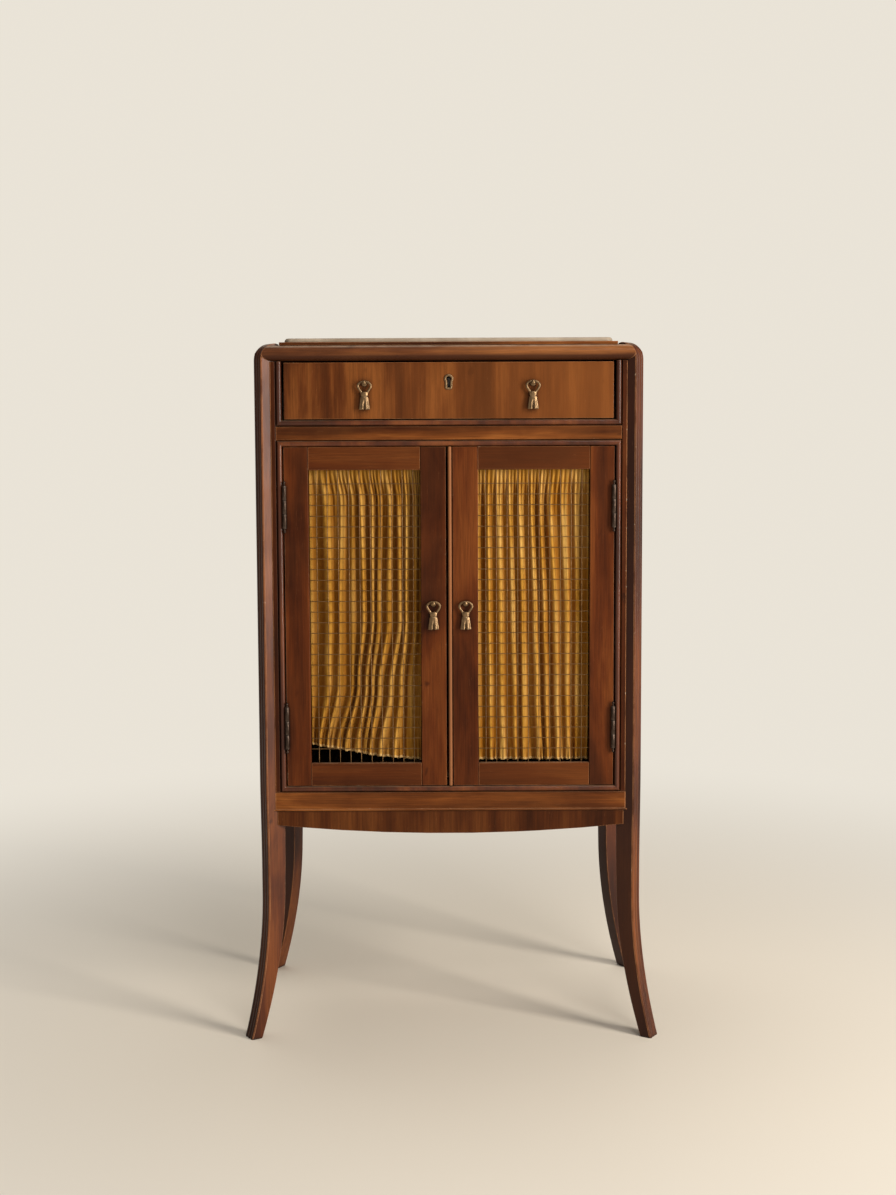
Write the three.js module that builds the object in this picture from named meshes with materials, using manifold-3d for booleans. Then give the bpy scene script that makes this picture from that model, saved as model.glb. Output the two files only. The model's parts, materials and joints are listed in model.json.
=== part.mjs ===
// A narrow mahogany cabinet for a table gramophone and its records: four sabre
// legs that run up as reeded corner posts and roll over into the side rails, one
// drawer, two doors with wire windows and gathered curtains, and a marble top.
//
// Millimetres, +Z up, +X to the right, the front towards -Y. The origin is on the
// floor, below the middle of the cabinet.
import * as THREE from "three";
import { mergeVertices } from "three/addons/utils/BufferGeometryUtils.js";
import Module from "manifold-3d";

const wasm = await Module();
wasm.setup();

// ---- Driving dimensions -----------------------------------------------------

// Fits
const SEAT = 0.3; // between pieces that are glued, screwed or rest on each other
const RUN = 0.4; // round a pin, a rod or a sliding piece
const LAP = 1; // a cutter's reach past a face, and the overlap of pieces that are joined

// Doors: widths run outward from the meeting edge, heights upward
const HINGE_STILE = 38.3;
const LOCK_STILE = 40.1;
const WINDOW_WIDTH = 176.5;
const WINDOW_HEIGHT = 467.2;
const DOOR_RAIL = 36.4;
const DOOR_THICKNESS = 20; // the drawer front's thickness too
const DOOR_REVEAL = 1; // above and below a door
const HINGE_REVEAL = 2.1; // beside a door, where the hinge leaves stand
const MEETING_GAP = 3.2;
const CLOSING_BEAD = 6.2; // half-round along the right door's meeting edge
const CLOSING_QUIRK = 1.4;
const DOOR_ANGLE_EASE = 1; // eased corners round the windows

// Window: rebate, wire net, curtain rod
const REBATE_WIDTH = 7;
const REBATE_SHOULDER = 7.5; // thickness left in front of the rebate
const WIRE = 1.5;
const WIRE_PITCH = 16.95;
const WIRE_BITE = 0.2; // depth to which crossing wires are welded together
const UPRIGHT_WIRES = 10;
const LEVEL_WIRES = 26;
const ROD_RADIUS = 2;
const ROD_DROP = 3.6; // from the top of the rebate down to the rod
const ROD_BEHIND = 16; // from the door's face back to the rod

// Curtains
const CLOTH = 1.2;
const SLEEVE_WALL = 1.1; // sleeve that the rod runs through
const SLEEVE_RIPPLE = 0.25; // half the depth of the folds round the rod
const FOLDS = 10;
const SLEEVE_CROWN = 0.33; // share of the sleeve's depth at its top edge
const FOLD_DEPTH = 3.2; // half the depth of a fold
const CURTAIN_EASE = 0.6; // between the curtain's edges and the rebate
const RIGHT_HEM = 9; // hem above the window's lower edge
const LEFT_HEM_INNER = 5; // the loose curtain's hem, at the meeting side
const LEFT_HEM_OUTER = 31; // and at the hinge side, where it is drawn up
const LEFT_SWEEP = 26; // sideways drift of the loose curtain's folds

// Drawer
const DRAWER_HEIGHT = 88;
const DRAWER_REVEAL = 1.8; // below the drawer front
const DRAWER_HEAD = 2.4; // above it
const DRAWER_SIDE_REVEAL = 3.7;
const DRAWER_LINING = 11;
const DRAWER_END_GAP = 13; // behind the closed drawer
const DRAWER_SIDE_HEIGHT = 74;
const DRAWER_BOTTOM = 5;
const DRAWER_GROOVE = 5; // from the lower edge of a side up to the bottom board

// Front framing
const BEAD_WIDTH = 8.4;
const BEAD_BED = 4; // from the frame's face back to the bead's seat
const BEAD_RISE = 2.5; // the bead's crown stands this far in front of the frame
const QUIRK = 1; // groove beside a bead
const STRIP_WIDTH = 9.2;
const STRIP_EASE = 1.1;
const MIDDLE_RAIL = 22;
const BOTTOM_RAIL = 30.6;
const RAIL_THICKNESS = 20;
const RAIL_BEAD = 3.4; // small bead along the bottom rail's lower edge
const RAIL_BEAD_RISE = 1.4;
const RAIL_BEAD_ROOT = 1; // depth to which the bead is sunk in the rail
const UNDERSIDE = 369; // bottom rail above the floor
const APRON_ENDS = 23; // apron below the bottom rail at the posts
const APRON_MIDDLE = 37.3; // and at its lowest point
const APRON_SETBACK = 1.6;
const FRAME_SETBACK = 8; // frame behind the posts' front edges
const DOOR_SETBACK = 9; // doors and drawer behind the posts' front edges

// Posts
const CASE_DEPTH = 360; // over the posts' front and back edges
const POST_TURN = THREE.MathUtils.degToRad(32);
const REEDED_FACE = 25.5;
const PLAIN_FACE = 33;
const FOOT_FACE = 21.2; // the plain face where it meets the floor
const TAPER_TOP = 340;
const KNEE = 230;
const FOOT_SPLAY = 34;
const SPLAY_POWER = 1.9;
const WAIST_TOP = 430;
const WAIST_RUN = 160;
const WAIST_INSET = 1.4;
const EAR_RADIUS = 26.7;
const EAR_RISE = 3.6; // ear above the top board
const REEDS = 3;
const REED_RISE = 2.2;
const REED_BACKING = 3;
const REED_LAP = 0.5; // the plank below the reeds' grooves

// Top
const NOSE_RADIUS = 12.2; // half-round rail over the drawer
const NOSE_RAIL_DEPTH = 20;
const NOSE_SHOULDER = 6.7; // rail's full width, behind the middle of its nose
const TOP_BOARD = 14;
const TOP_LIP_RISE = 5;
const TOP_LIP_INSET = 28.8; // lip's ends inside the posts' front edges
const TOP_LIP_OVERHANG = 2.5; // top board past the lip, at the sides
const TOP_LIP_SETBACK = 10; // lip behind the posts' front and back edges
const MARBLE_BORDER = 6.6; // lip left uncovered beside the marble
const MARBLE_THICKNESS = 11.3;
const MARBLE_CORNER = 11;
const MARBLE_EASE = 4.5;
const MARBLE_EASE_RISE = 6;

// Sides, bottom, back and inside
const SIDE_RAIL_LIP = 26; // rolled rail below its curve
const SIDE_RAIL_COVE = 8;
const SIDE_RAIL_FILLET = 2.7;
const SIDE_PANEL = 11;
const SIDE_PANEL_SETBACK = 11; // panel behind the posts' outer faces
const SIDE_FOOT_RAIL = 18; // thickness of the rail along the side's lower edge
const SIDE_FOOT_HEIGHT = 52;
const BOTTOM_BOARD = 14;
const STOP_RISE = 11;
const STOP_DEPTH = 10;
const STOP_WIDTH = 400;
const STOP_OVERLAP = 12; // the upper stop reaches this far below a door's top
const DUST_BOARD = 13;
const GUIDE_WIDTH = 14;
const GUIDE_HEIGHT = 16;
const SHELF = 14;
const RECORD_CLEARANCE = 318; // tall records stand below the shelf
const SHELF_SETBACK = 42;
const BATTEN_HEIGHT = 18;
const BATTEN_DEPTH = 11;
const BATTEN_LENGTH = 230;
const BACK_PANEL = 6;
const BACK_RAIL = 12;
const BACK_RAIL_HEIGHT = 50;
const BACK_SETBACK = 30; // back rails in front of the rear posts' edges

// Hinges
const HINGE_BARREL = 66;
const HINGE_INSET = 94; // hinge centre from a door's end
const KNUCKLE_RADIUS = 3.4;
const HINGE_PIN = 1.5;
const FINIAL = 8;
const FINIAL_RADIUS = 2.2;
const FINIAL_NECK = 1.3;
const LEAF = 1.2;
const LEAF_DEPTH = 14;
const LEAF_RELIEF = 0.2; // leaf below the face of the door's edge
const TAB_START = 1; // a leaf's tab begins this far behind the pin's middle
const PIN_CLEAR = 0.5; // the door leaf's tab past the bore
const BARREL_STANDOFF = 4; // barrel's axis in front of the door
const BARREL_INSET = 0.8; // barrel's axis inside the door's edge

// Pulls: a ribbon loop and tassel that hangs on a stud
const PULL_SPREAD = 132; // drawer pulls from the middle
const DRAWER_STUD = 33; // stud below the drawer front's upper edge
const DOOR_PULL_INSET = 20; // from the window's edge
const DOOR_STUD = 248; // stud below the door's upper edge
const ROSETTE_RADIUS = 5.4;
const ROSETTE = 2.2;
const NECK_RADIUS = 1.8;
const NECK = 6.6;
const KNOB_RADIUS = 3.3;
const KNOB = 5;
const LOOP_HALF_WIDTH = 9.8;
const LOOP_HEIGHT = 19;
const RIBBON_WIDTH = 3.4;
const RIBBON_THICKNESS = 2.4;
const TASSEL_LENGTH = 28;
const TASSEL_WAIST = 4.8; // half widths of the tassel
const TASSEL_HEM = 9.2;
const TASSEL_FLATNESS = 0.5; // thickness of the tassel against its width

// Lock and keyhole
const LOCK_WIDTH = 44;
const LOCK_HEIGHT = 45;
const LOCK_THICKNESS = 7;
const LOCK_WALL = 1.2;
const BOLT_WIDTH = 14;
const BOLT_LENGTH = 23;
const BOLT_THROW = 7;
const KEYHOLE_RADIUS = 3.6;
const KEYHOLE_SLOT = 5;
const KEYHOLE_HEIGHT = 17.6;
const ESCUTCHEON_RIM = 2.9;
const ESCUTCHEON = 1.2;
const KEYHOLE_DROP = 22; // top of the keyhole below the drawer front's edge
const MORTISE_EASE = 1; // beside the bolt, in the rail above

// Smoothness
const EAR_STEPS = 7;
const LEG_STEPS = 12;
const REED_STEPS = 4;
const ROUND_STEPS = 8;
const TURNED_STEPS = 10;
const CURTAIN_ROWS = 3;
const POINTS_PER_FOLD = 4;
const FAR = 700; // reach of a cutting block

// ---- Derived places ---------------------------------------------------------

const leafWidth = HINGE_STILE + WINDOW_WIDTH + LOCK_STILE;
const closingWidth = CLOSING_BEAD + CLOSING_QUIRK;
const opening = leafWidth + (closingWidth + MEETING_GAP) / 2 + HINGE_REVEAL;
const hingeEdge = opening - HINGE_REVEAL;
const windowOuter = hingeEdge - HINGE_STILE;
const windowInner = windowOuter - WINDOW_WIDTH;
const lockEdge = windowInner - LOCK_STILE;
const rebateOuter = windowOuter + REBATE_WIDTH;
const rebateInner = windowInner - REBATE_WIDTH;
const stripInner = opening + BEAD_WIDTH + QUIRK;
const stripOuter = stripInner + STRIP_WIDTH;
const arrisX = stripOuter + FRAME_SETBACK / Math.tan(POST_TURN);
const arrisY = CASE_DEPTH / 2;
const postOuter = arrisX + REEDED_FACE * Math.sin(POST_TURN);

const bottomRailTop = UNDERSIDE + BOTTOM_RAIL;
const openingBottom = bottomRailTop + QUIRK + BEAD_WIDTH;
const doorBottom = openingBottom + DOOR_REVEAL;
const doorTop = doorBottom + WINDOW_HEIGHT + 2 * DOOR_RAIL;
const windowBottom = doorBottom + DOOR_RAIL;
const windowTop = doorTop - DOOR_RAIL;
const openingTop = doorTop + DOOR_REVEAL;
const middleRailBottom = openingTop + BEAD_WIDTH + QUIRK;
const middleRailTop = middleRailBottom + MIDDLE_RAIL;
const drawerOpening = middleRailTop + QUIRK + BEAD_WIDTH;
const drawerBottom = drawerOpening + DRAWER_REVEAL;
const drawerTop = drawerBottom + DRAWER_HEIGHT;
const noseBottom = drawerTop + DRAWER_HEAD;
const topLevel = noseBottom + 2 * NOSE_RADIUS;
const earTop = topLevel + EAR_RISE;
const earCentre = earTop - EAR_RADIUS;

const frameFace = FRAME_SETBACK - arrisY;
const frameBack = frameFace + RAIL_THICKNESS;
const bedFace = frameFace + BEAD_BED;
const doorFace = DOOR_SETBACK - arrisY;
const doorBack = doorFace + DOOR_THICKNESS;
const shoulder = doorFace + REBATE_SHOULDER;
const noseCentre = NOSE_RADIUS - arrisY;
const noseBack = noseCentre + NOSE_RAIL_DEPTH;
const insideFront = doorBack + SEAT;
const backRailFace = arrisY - BACK_SETBACK + BACK_RAIL;
const backPanelFront = arrisY - BACK_SETBACK - BACK_PANEL;
const panelOuter = postOuter - SIDE_PANEL_SETBACK;
const panelInner = panelOuter - SIDE_PANEL;
const boardEnd = panelInner - SEAT;
const floorLevel = openingBottom;
const dustTop = drawerBottom - SEAT;
const drawerHalf = opening - DRAWER_SIDE_REVEAL;
const earPeak = postOuter - EAR_RADIUS;
const topLip = arrisX - TOP_LIP_INSET;
const topEdge = topLip + TOP_LIP_OVERHANG;
const hingeAxis = hingeEdge - BARREL_INSET;
const barrelY = doorFace - BARREL_STANDOFF;
const upperHinge = doorTop - HINGE_INSET;
const lowerHinge = doorBottom + HINGE_INSET;
const rodZ = windowTop + REBATE_WIDTH - ROD_DROP;
const rodY = doorFace + ROD_BEHIND;
const keyholeTop = drawerTop - KEYHOLE_DROP;

// ---- Materials --------------------------------------------------------------

/** A surface with its colour, roughness and metalness. */
function finish(color, roughness, metalness = 0) {
  return { color, roughness, metalness };
}

const MAHOGANY = finish(0x5f2f18, 0.42);
const RAIL_MAHOGANY = finish(0x7c4421, 0.45);
const VENEER = finish(0x6c3a1c, 0.4);
const LINING = finish(0xa5845a, 0.7);
const MARBLE = finish(0xb7b0a2, 0.35);
const BRASS = finish(0xa1835a, 0.38, 1);
const BRONZE = finish(0x4b3728, 0.45, 1);
const IRON = finish(0x55504a, 0.5, 1);
const NET = finish(0xa89468, 0.45, 1);
const CURTAIN = finish(0xb98c37, 0.85);

// ---- Geometry helpers -------------------------------------------------------

/** Six times the volume that a closed mesh holds, negative if it is inside out. */
function signedVolume(position, index) {
  const [a, b, c] = [new THREE.Vector3(), new THREE.Vector3(), new THREE.Vector3()];
  let sum = 0;
  for (let i = 0; i < index.length; i += 3) {
    a.fromBufferAttribute(position, index[i]);
    b.fromBufferAttribute(position, index[i + 1]);
    c.fromBufferAttribute(position, index[i + 2]);
    sum += a.dot(b.cross(c));
  }
  return sum;
}

/** The geometry with shared vertices, no empty triangles, and its faces out. */
function closed(geometry) {
  const bare = new THREE.BufferGeometry();
  bare.setAttribute("position", geometry.getAttribute("position"));
  bare.setIndex(geometry.index);
  const merged = mergeVertices(bare, 1e-3);
  const kept = [];
  const source = merged.index.array;
  for (let i = 0; i < source.length; i += 3) {
    const [a, b, c] = [source[i], source[i + 1], source[i + 2]];
    if (a !== b && b !== c && c !== a) kept.push(a, b, c);
  }
  if (signedVolume(merged.getAttribute("position"), kept) < 0) kept.reverse();
  merged.setIndex(kept);
  return merged;
}

/** A closed geometry as a solid that can be joined and cut. */
function toSolid(geometry) {
  const mesh = closed(geometry);
  return new wasm.Manifold(new wasm.Mesh({
    numProp: 3,
    vertProperties: Float32Array.from(mesh.getAttribute("position").array),
    triVerts: Uint32Array.from(mesh.index.array),
  }));
}

function toGeometry(solid) {
  const mesh = solid.getMesh();
  const geometry = new THREE.BufferGeometry();
  geometry.setAttribute("position", new THREE.BufferAttribute(mesh.vertProperties, 3));
  geometry.setIndex(Array.from(mesh.triVerts));
  return geometry;
}

function join(first, ...others) {
  return toGeometry(others.reduce((whole, next) => whole.add(toSolid(next)), toSolid(first)));
}

function cut(first, ...cutters) {
  return toGeometry(cutters.reduce((rest, next) => rest.subtract(toSolid(next)), toSolid(first)));
}

function common(first, second) {
  return toGeometry(toSolid(first).intersect(toSolid(second)));
}

/** A block between two opposite corners, given in any order. */
function block(x0, x1, y0, y1, z0, z1) {
  const size = [x1 - x0, y1 - y0, z1 - z0];
  const middle = [(x0 + x1) / 2, (y0 + y1) / 2, (z0 + z1) / 2];
  return new THREE.BoxGeometry(...size.map(Math.abs)).translate(...middle);
}

function outline(points) {
  return new THREE.Shape(points.map(([a, b]) => new THREE.Vector2(a, b)));
}

function extruded(shape, length) {
  return new THREE.ExtrudeGeometry(shape, {
    depth: length,
    bevelEnabled: false,
    steps: 1,
    curveSegments: ROUND_STEPS,
  });
}

/** A plan outline (x, y) drawn up from z0 to z1. */
function upright(shape, z0, z1) {
  return extruded(shape, z1 - z0).translate(0, 0, z0);
}

/** A front outline (x, z) drawn back from y0 to y1. */
function frontToBack(shape, y0, y1) {
  return extruded(shape, y1 - y0).rotateX(Math.PI / 2).translate(0, y1, 0);
}

/** A side outline (y, z) drawn across from x0 to x1. */
function across(shape, x0, x1) {
  const turn = new THREE.Matrix4().makeBasis(
    new THREE.Vector3(0, 1, 0),
    new THREE.Vector3(0, 0, 1),
    new THREE.Vector3(1, 0, 0),
  );
  return extruded(shape, x1 - x0).applyMatrix4(turn).translate(x0, 0, 0);
}

/** A skin over rings of equal length; open runs are capped, round ones closed. */
function loft(rings, round = false) {
  const count = rings[0].length;
  const bands = round ? rings.length : rings.length - 1;
  const index = [];
  for (let r = 0; r < bands; r += 1) {
    const here = r * count;
    const next = ((r + 1) % rings.length) * count;
    for (let i = 0; i < count; i += 1) {
      const j = (i + 1) % count;
      index.push(here + i, here + j, next + j, here + i, next + j, next + i);
    }
  }
  if (!round) {
    const last = (rings.length - 1) * count;
    capTriangles(rings[0]).forEach(([a, b, c]) => index.push(a, c, b));
    capTriangles(rings.at(-1)).forEach(([a, b, c]) => index.push(last + a, last + b, last + c));
  }
  const geometry = new THREE.BufferGeometry();
  const points = rings.flat().flatMap((point) => point.toArray());
  geometry.setAttribute("position", new THREE.Float32BufferAttribute(points, 3));
  geometry.setIndex(index);
  return geometry;
}

/** Triangles over a flat ring, turned the same way as the ring runs. */
function capTriangles(ring) {
  const normal = new THREE.Vector3();
  ring.forEach((point, i) => normal.add(point.clone().cross(ring[(i + 1) % ring.length])));
  normal.normalize();
  const level = new THREE.Quaternion().setFromUnitVectors(normal, new THREE.Vector3(0, 0, 1));
  const flat = ring.map((point) => {
    const turned = point.clone().applyQuaternion(level);
    return new THREE.Vector2(turned.x, turned.y);
  });
  return THREE.ShapeUtils.triangulateShape(flat, []);
}

/** A profile of (radius, height) pairs turned about the Z axis. */
function turned(profile, steps = TURNED_STEPS) {
  const points = profile.map(([radius, height]) => new THREE.Vector2(radius, height));
  return new THREE.LatheGeometry(points, steps).rotateX(Math.PI / 2);
}

function smooth(value) {
  return THREE.MathUtils.smoothstep(value, 0, 1);
}

// ---- Scene ------------------------------------------------------------------

const cabinet = new THREE.Group();
const carcase = new THREE.Group();
const drawer = new THREE.Group();
const doors = { left: new THREE.Group(), right: new THREE.Group() };
cabinet.add(carcase, drawer, doors.left, doors.right);

/** Puts a named piece into a group, at its own place. */
function place(group, name, geometry, surface, position = [0, 0, 0], turn = 0) {
  const mesh = new THREE.Mesh(closed(geometry), new THREE.MeshStandardMaterial(surface));
  mesh.name = name;
  mesh.position.set(...position);
  mesh.rotation.z = turn;
  group.add(mesh);
}

// ---- Posts ------------------------------------------------------------------
// A post is sawn from a plank that stands turned to the front. Its outline lies in
// a plane of (outward, height); the plank's thickness is the reeded face.

function splay(z) {
  return FOOT_SPLAY * Math.max(0, (KNEE - z) / KNEE) ** SPLAY_POWER;
}

function outerEdge(z) {
  return splay(z) - WAIST_INSET * smooth((WAIST_TOP - z) / WAIST_RUN);
}

function innerEdge(z) {
  const rise = Math.sin(Math.min(1, z / TAPER_TOP) * Math.PI / 2);
  return splay(z) - FOOT_FACE - (PLAIN_FACE - FOOT_FACE) * rise;
}

/** How far the reeds have sunk into the ear at an angle round it. */
function reedFade(angle) {
  return smooth((angle / (Math.PI / 2)) * 2 - 1);
}

/** Heights up the leg, from the floor to where it runs straight. */
function legLevels() {
  return Array.from({ length: LEG_STEPS + 1 }, (_, i) => (WAIST_TOP * i) / LEG_STEPS);
}

function earAngles() {
  return Array.from({ length: EAR_STEPS + 1 }, (_, i) => (Math.PI / 2) * (i / EAR_STEPS));
}

function plank() {
  const tuck = REED_RISE + REED_LAP;
  const outer = legLevels().map((z) => [outerEdge(z) - tuck, z]);
  const ear = earAngles().map((angle) => {
    const radius = EAR_RADIUS - tuck * (1 - reedFade(angle));
    return [radius * Math.cos(angle) - EAR_RADIUS, earCentre + radius * Math.sin(angle)];
  });
  const inner = legLevels().reverse().map((z) => [innerEdge(z), z]);
  const top = [[-PLAIN_FACE, earTop - EAR_RISE / 2]];
  return frontToBack(outline([...outer, ...ear, ...top, ...inner]), 0, REEDED_FACE);
}

/** Points across the reeded face: distance from the front edge, and rise. */
function reedSection() {
  const width = REEDED_FACE / REEDS;
  const points = [];
  for (let i = 0; i <= REEDS * REED_STEPS; i += 1) {
    const swing = ((i % REED_STEPS) / REED_STEPS) * 2 - 1;
    points.push([(i * width) / REED_STEPS, Math.sqrt(1 - swing * swing)]);
  }
  return points;
}

function reeding() {
  const section = reedSection();
  const ring = (out, height, angle, fade) => {
    const at = (across_, depth) => new THREE.Vector3(
      out + depth * Math.cos(angle),
      across_,
      height + depth * Math.sin(angle),
    );
    const face = section.map(([v, rise]) => at(v, (rise - 1) * REED_RISE * (1 - fade)));
    const backing = -REED_RISE - REED_BACKING;
    return [...face, at(REEDED_FACE, backing), at(0, backing)];
  };
  const leg = legLevels().map((z) => ring(outerEdge(z), z, 0, 0));
  const ear = earAngles().map((angle) => {
    const out = EAR_RADIUS * (Math.cos(angle) - 1);
    return ring(out, earCentre + EAR_RADIUS * Math.sin(angle), angle, reedFade(angle));
  });
  return loft([...leg, ...ear]);
}

function mirrored(geometry) {
  return geometry.clone().scale(-1, 1, 1);
}

const postRight = join(plank(), reeding());
const postLeft = mirrored(postRight);
place(carcase, "front_right_post", postRight, MAHOGANY, [arrisX, -arrisY, 0], -POST_TURN);
place(carcase, "front_left_post", postLeft, MAHOGANY, [-arrisX, -arrisY, 0], POST_TURN);
place(carcase, "rear_left_post", postRight, MAHOGANY, [-arrisX, arrisY, 0], Math.PI - POST_TURN);
place(carcase, "rear_right_post", postLeft, MAHOGANY, [arrisX, arrisY, 0], Math.PI + POST_TURN);

/**
 * The four corners that the posts fill, as blocks for cutting what meets them.
 * Behind a post everything up to its back face is taken; before it, only what
 * reaches past its plain face.
 */
function postCorners(behind) {
  const inner = -PLAIN_FACE - SEAT;
  const [v0, v1] = behind ? [-FAR, REEDED_FACE + SEAT] : [-SEAT, FAR];
  const corner = block(inner, FAR, v0, v1, -FAR, 2 * FAR);
  const right = corner.clone().rotateZ(-POST_TURN).translate(arrisX, -arrisY, 0);
  const left = mirrored(right);
  const turnedBack = [right, left].map((one) => one.clone().rotateZ(Math.PI));
  return [right, left, ...turnedBack];
}

const behindPosts = postCorners(true);
const beforePosts = postCorners(false).slice(0, 2);

// ---- Front framing ----------------------------------------------------------

/** A rail's profile (y, z): eased front edges, and beds for beads above or below. */
function railOutline(bottom, top, bedBelow, bedAbove) {
  const ease = STRIP_EASE;
  const points = [[frameFace + ease, bottom], [frameFace, bottom + ease]];
  points.push([frameFace, top - ease], [frameFace + ease, top]);
  if (bedAbove) points.push([bedFace, top], [bedFace, top + bedAbove]);
  points.push([frameBack, top + bedAbove], [frameBack, bottom - bedBelow]);
  if (bedBelow) points.push([bedFace, bottom - bedBelow], [bedFace, bottom]);
  return outline(points);
}

function middleRail() {
  const bed = BEAD_WIDTH + QUIRK;
  const body = across(railOutline(middleRailBottom, middleRailTop, bed, bed), -stripInner, stripInner);
  const stileSeats = [-1, 1].map((side) => block(
    side * (opening - SEAT),
    side * FAR,
    bedFace - SEAT,
    frameBack + LAP,
    openingTop - LAP,
    drawerOpening + LAP,
  ));
  const ends = [-1, 1].map((side) => block(
    side * (stripInner - SEAT),
    side * FAR,
    -FAR,
    FAR,
    openingTop - LAP,
    drawerOpening + LAP,
  ));
  return cut(body, ...stileSeats, ...ends);
}

/** A ring of half-round bead round an opening, mitred at its corners. */
function beadRing(half, bottom, top, sides) {
  const crown = frameFace - BEAD_RISE;
  const radius = BEAD_WIDTH / 2;
  const section = [[0, bedFace - SEAT]];
  for (let i = 0; i <= ROUND_STEPS; i += 1) {
    const angle = (Math.PI * i) / ROUND_STEPS;
    section.push([radius * (1 - Math.cos(angle)), crown + radius * (1 - Math.sin(angle))]);
  }
  section.push([BEAD_WIDTH, bedFace - SEAT]);
  const corner = (x, z, alongX, alongZ) => section.map(([out, y]) => new THREE.Vector3(
    x + out * alongX,
    y,
    z + out * alongZ,
  ));
  const rings = [corner(-half, bottom, -1, -1), corner(half, bottom, 1, -1)];
  if (sides === "all") {
    return loft([...rings, corner(half, top, 1, 1), corner(-half, top, -1, 1)], true);
  }
  return loft([corner(-half, top, -1, 0), ...rings, corner(half, top, 1, 0)]);
}

/** The flat strip beside the beads, scribed to the post's plain face. */
function frameStile(side) {
  const depth = bedFace + FRAME_SETBACK;
  const plan = outline([
    [side * opening, bedFace],
    [side * stripInner, bedFace],
    [side * stripInner, frameFace + STRIP_EASE],
    [side * (stripInner + STRIP_EASE), frameFace],
    [side * (stripOuter + QUIRK), frameFace],
    [side * (stripOuter + QUIRK), depth],
    [side * opening, depth],
  ]);
  return cut(upright(plan, bottomRailTop + SEAT, noseBottom - SEAT), ...beforePosts);
}

function bottomRail() {
  const bed = BEAD_WIDTH + QUIRK;
  const body = across(railOutline(UNDERSIDE, bottomRailTop, 0, bed), -arrisX, arrisX);
  const bead = new THREE.Shape();
  const middle = UNDERSIDE + RAIL_BEAD / 2;
  const depth = RAIL_BEAD_ROOT + RAIL_BEAD_RISE;
  const root = frameFace + RAIL_BEAD_ROOT;
  bead.absellipse(root, middle, depth, RAIL_BEAD / 2, Math.PI / 2, -Math.PI / 2, false);
  const seats = [-1, 1].map((side) => block(
    side * (opening - SEAT),
    side * FAR,
    -FAR,
    FAR,
    bottomRailTop,
    openingBottom + LAP,
  ));
  const beaded = join(body, across(bead, -arrisX, arrisX));
  return cut(beaded, ...seats, ...beforePosts);
}

function apron() {
  const bottom = UNDERSIDE - APRON_MIDDLE;
  const sag = APRON_MIDDLE - APRON_ENDS;
  const radius = (stripOuter * stripOuter + sag * sag) / (2 * sag);
  const reach = Math.asin(stripOuter / radius);
  const shape = new THREE.Shape();
  const from = -Math.PI / 2 - reach;
  shape.absarc(0, bottom + radius, radius, from, from + 2 * reach, false);
  shape.lineTo(stripOuter, UNDERSIDE - SEAT);
  shape.lineTo(-stripOuter, UNDERSIDE - SEAT);
  return cut(frontToBack(shape, frameFace + APRON_SETBACK, frameBack), ...beforePosts);
}

place(carcase, "left_frame_stile", frameStile(-1), MAHOGANY);
place(carcase, "right_frame_stile", frameStile(1), MAHOGANY);
place(carcase, "middle_rail", middleRail(), RAIL_MAHOGANY);
place(carcase, "bottom_rail", bottomRail(), RAIL_MAHOGANY);
place(carcase, "apron", apron(), MAHOGANY);
place(carcase, "door_bead", beadRing(opening, openingBottom, openingTop, "all"), MAHOGANY);
place(carcase, "drawer_bead", beadRing(opening, drawerOpening, noseBottom - SEAT, "u"), MAHOGANY);

// ---- Top --------------------------------------------------------------------

/** The half-round rail over the drawer; its ends follow the ears of the posts. */
function noseRail() {
  const profile = new THREE.Shape();
  profile.moveTo(noseBack, noseBottom);
  profile.lineTo(noseBack, topLevel);
  profile.absarc(noseCentre, topLevel - NOSE_RADIUS, NOSE_RADIUS, Math.PI / 2, 1.5 * Math.PI, false);
  const hoop = new THREE.Shape();
  const across_ = EAR_RADIUS * Math.cos(POST_TURN);
  hoop.moveTo(-arrisX, noseBottom - LAP);
  hoop.lineTo(arrisX, noseBottom - LAP);
  hoop.absellipse(arrisX - across_, earCentre, across_, EAR_RADIUS, 0, Math.PI / 2, false);
  hoop.absellipse(across_ - arrisX, earCentre, across_, EAR_RADIUS, Math.PI / 2, Math.PI, false);
  const rail = common(across(profile, -arrisX, arrisX), frontToBack(hoop, -FAR, FAR));
  const ends = [-1, 1].map((side) => block(
    side * topEdge,
    side * FAR,
    noseCentre + NOSE_SHOULDER,
    FAR,
    0,
    2 * FAR,
  ));
  const boltMortise = block(
    -BOLT_WIDTH / 2 - MORTISE_EASE,
    BOLT_WIDTH / 2 + MORTISE_EASE,
    doorBack - LOCK_THICKNESS,
    doorBack,
    noseBottom - LAP,
    noseBottom + BOLT_THROW,
  );
  return cut(rail, ...beforePosts, ...ends, boltMortise);
}

function rolledRail(side) {
  const shape = new THREE.Shape();
  const inner = topEdge + SEAT;
  const lip = earCentre - SIDE_RAIL_LIP;
  const x = (value) => side * value;
  shape.moveTo(x(inner), lip - SIDE_RAIL_COVE);
  shape.lineTo(x(inner), topLevel);
  const run = earPeak - inner;
  for (let i = 1; i < ROUND_STEPS / 2; i += 1) {
    const t = i / (ROUND_STEPS / 2);
    shape.lineTo(x(inner + run * t), topLevel + EAR_RISE * smooth(t));
  }
  for (const angle of earAngles().reverse()) {
    shape.lineTo(x(earPeak + EAR_RADIUS * Math.cos(angle)), earCentre + EAR_RADIUS * Math.sin(angle));
  }
  shape.lineTo(x(postOuter), lip);
  shape.lineTo(x(postOuter - SIDE_RAIL_FILLET), lip - SIDE_RAIL_FILLET);
  shape.lineTo(x(postOuter - SIDE_RAIL_COVE), lip - SIDE_RAIL_COVE);
  return cut(frontToBack(shape, -arrisY, arrisY), ...behindPosts);
}

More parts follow.
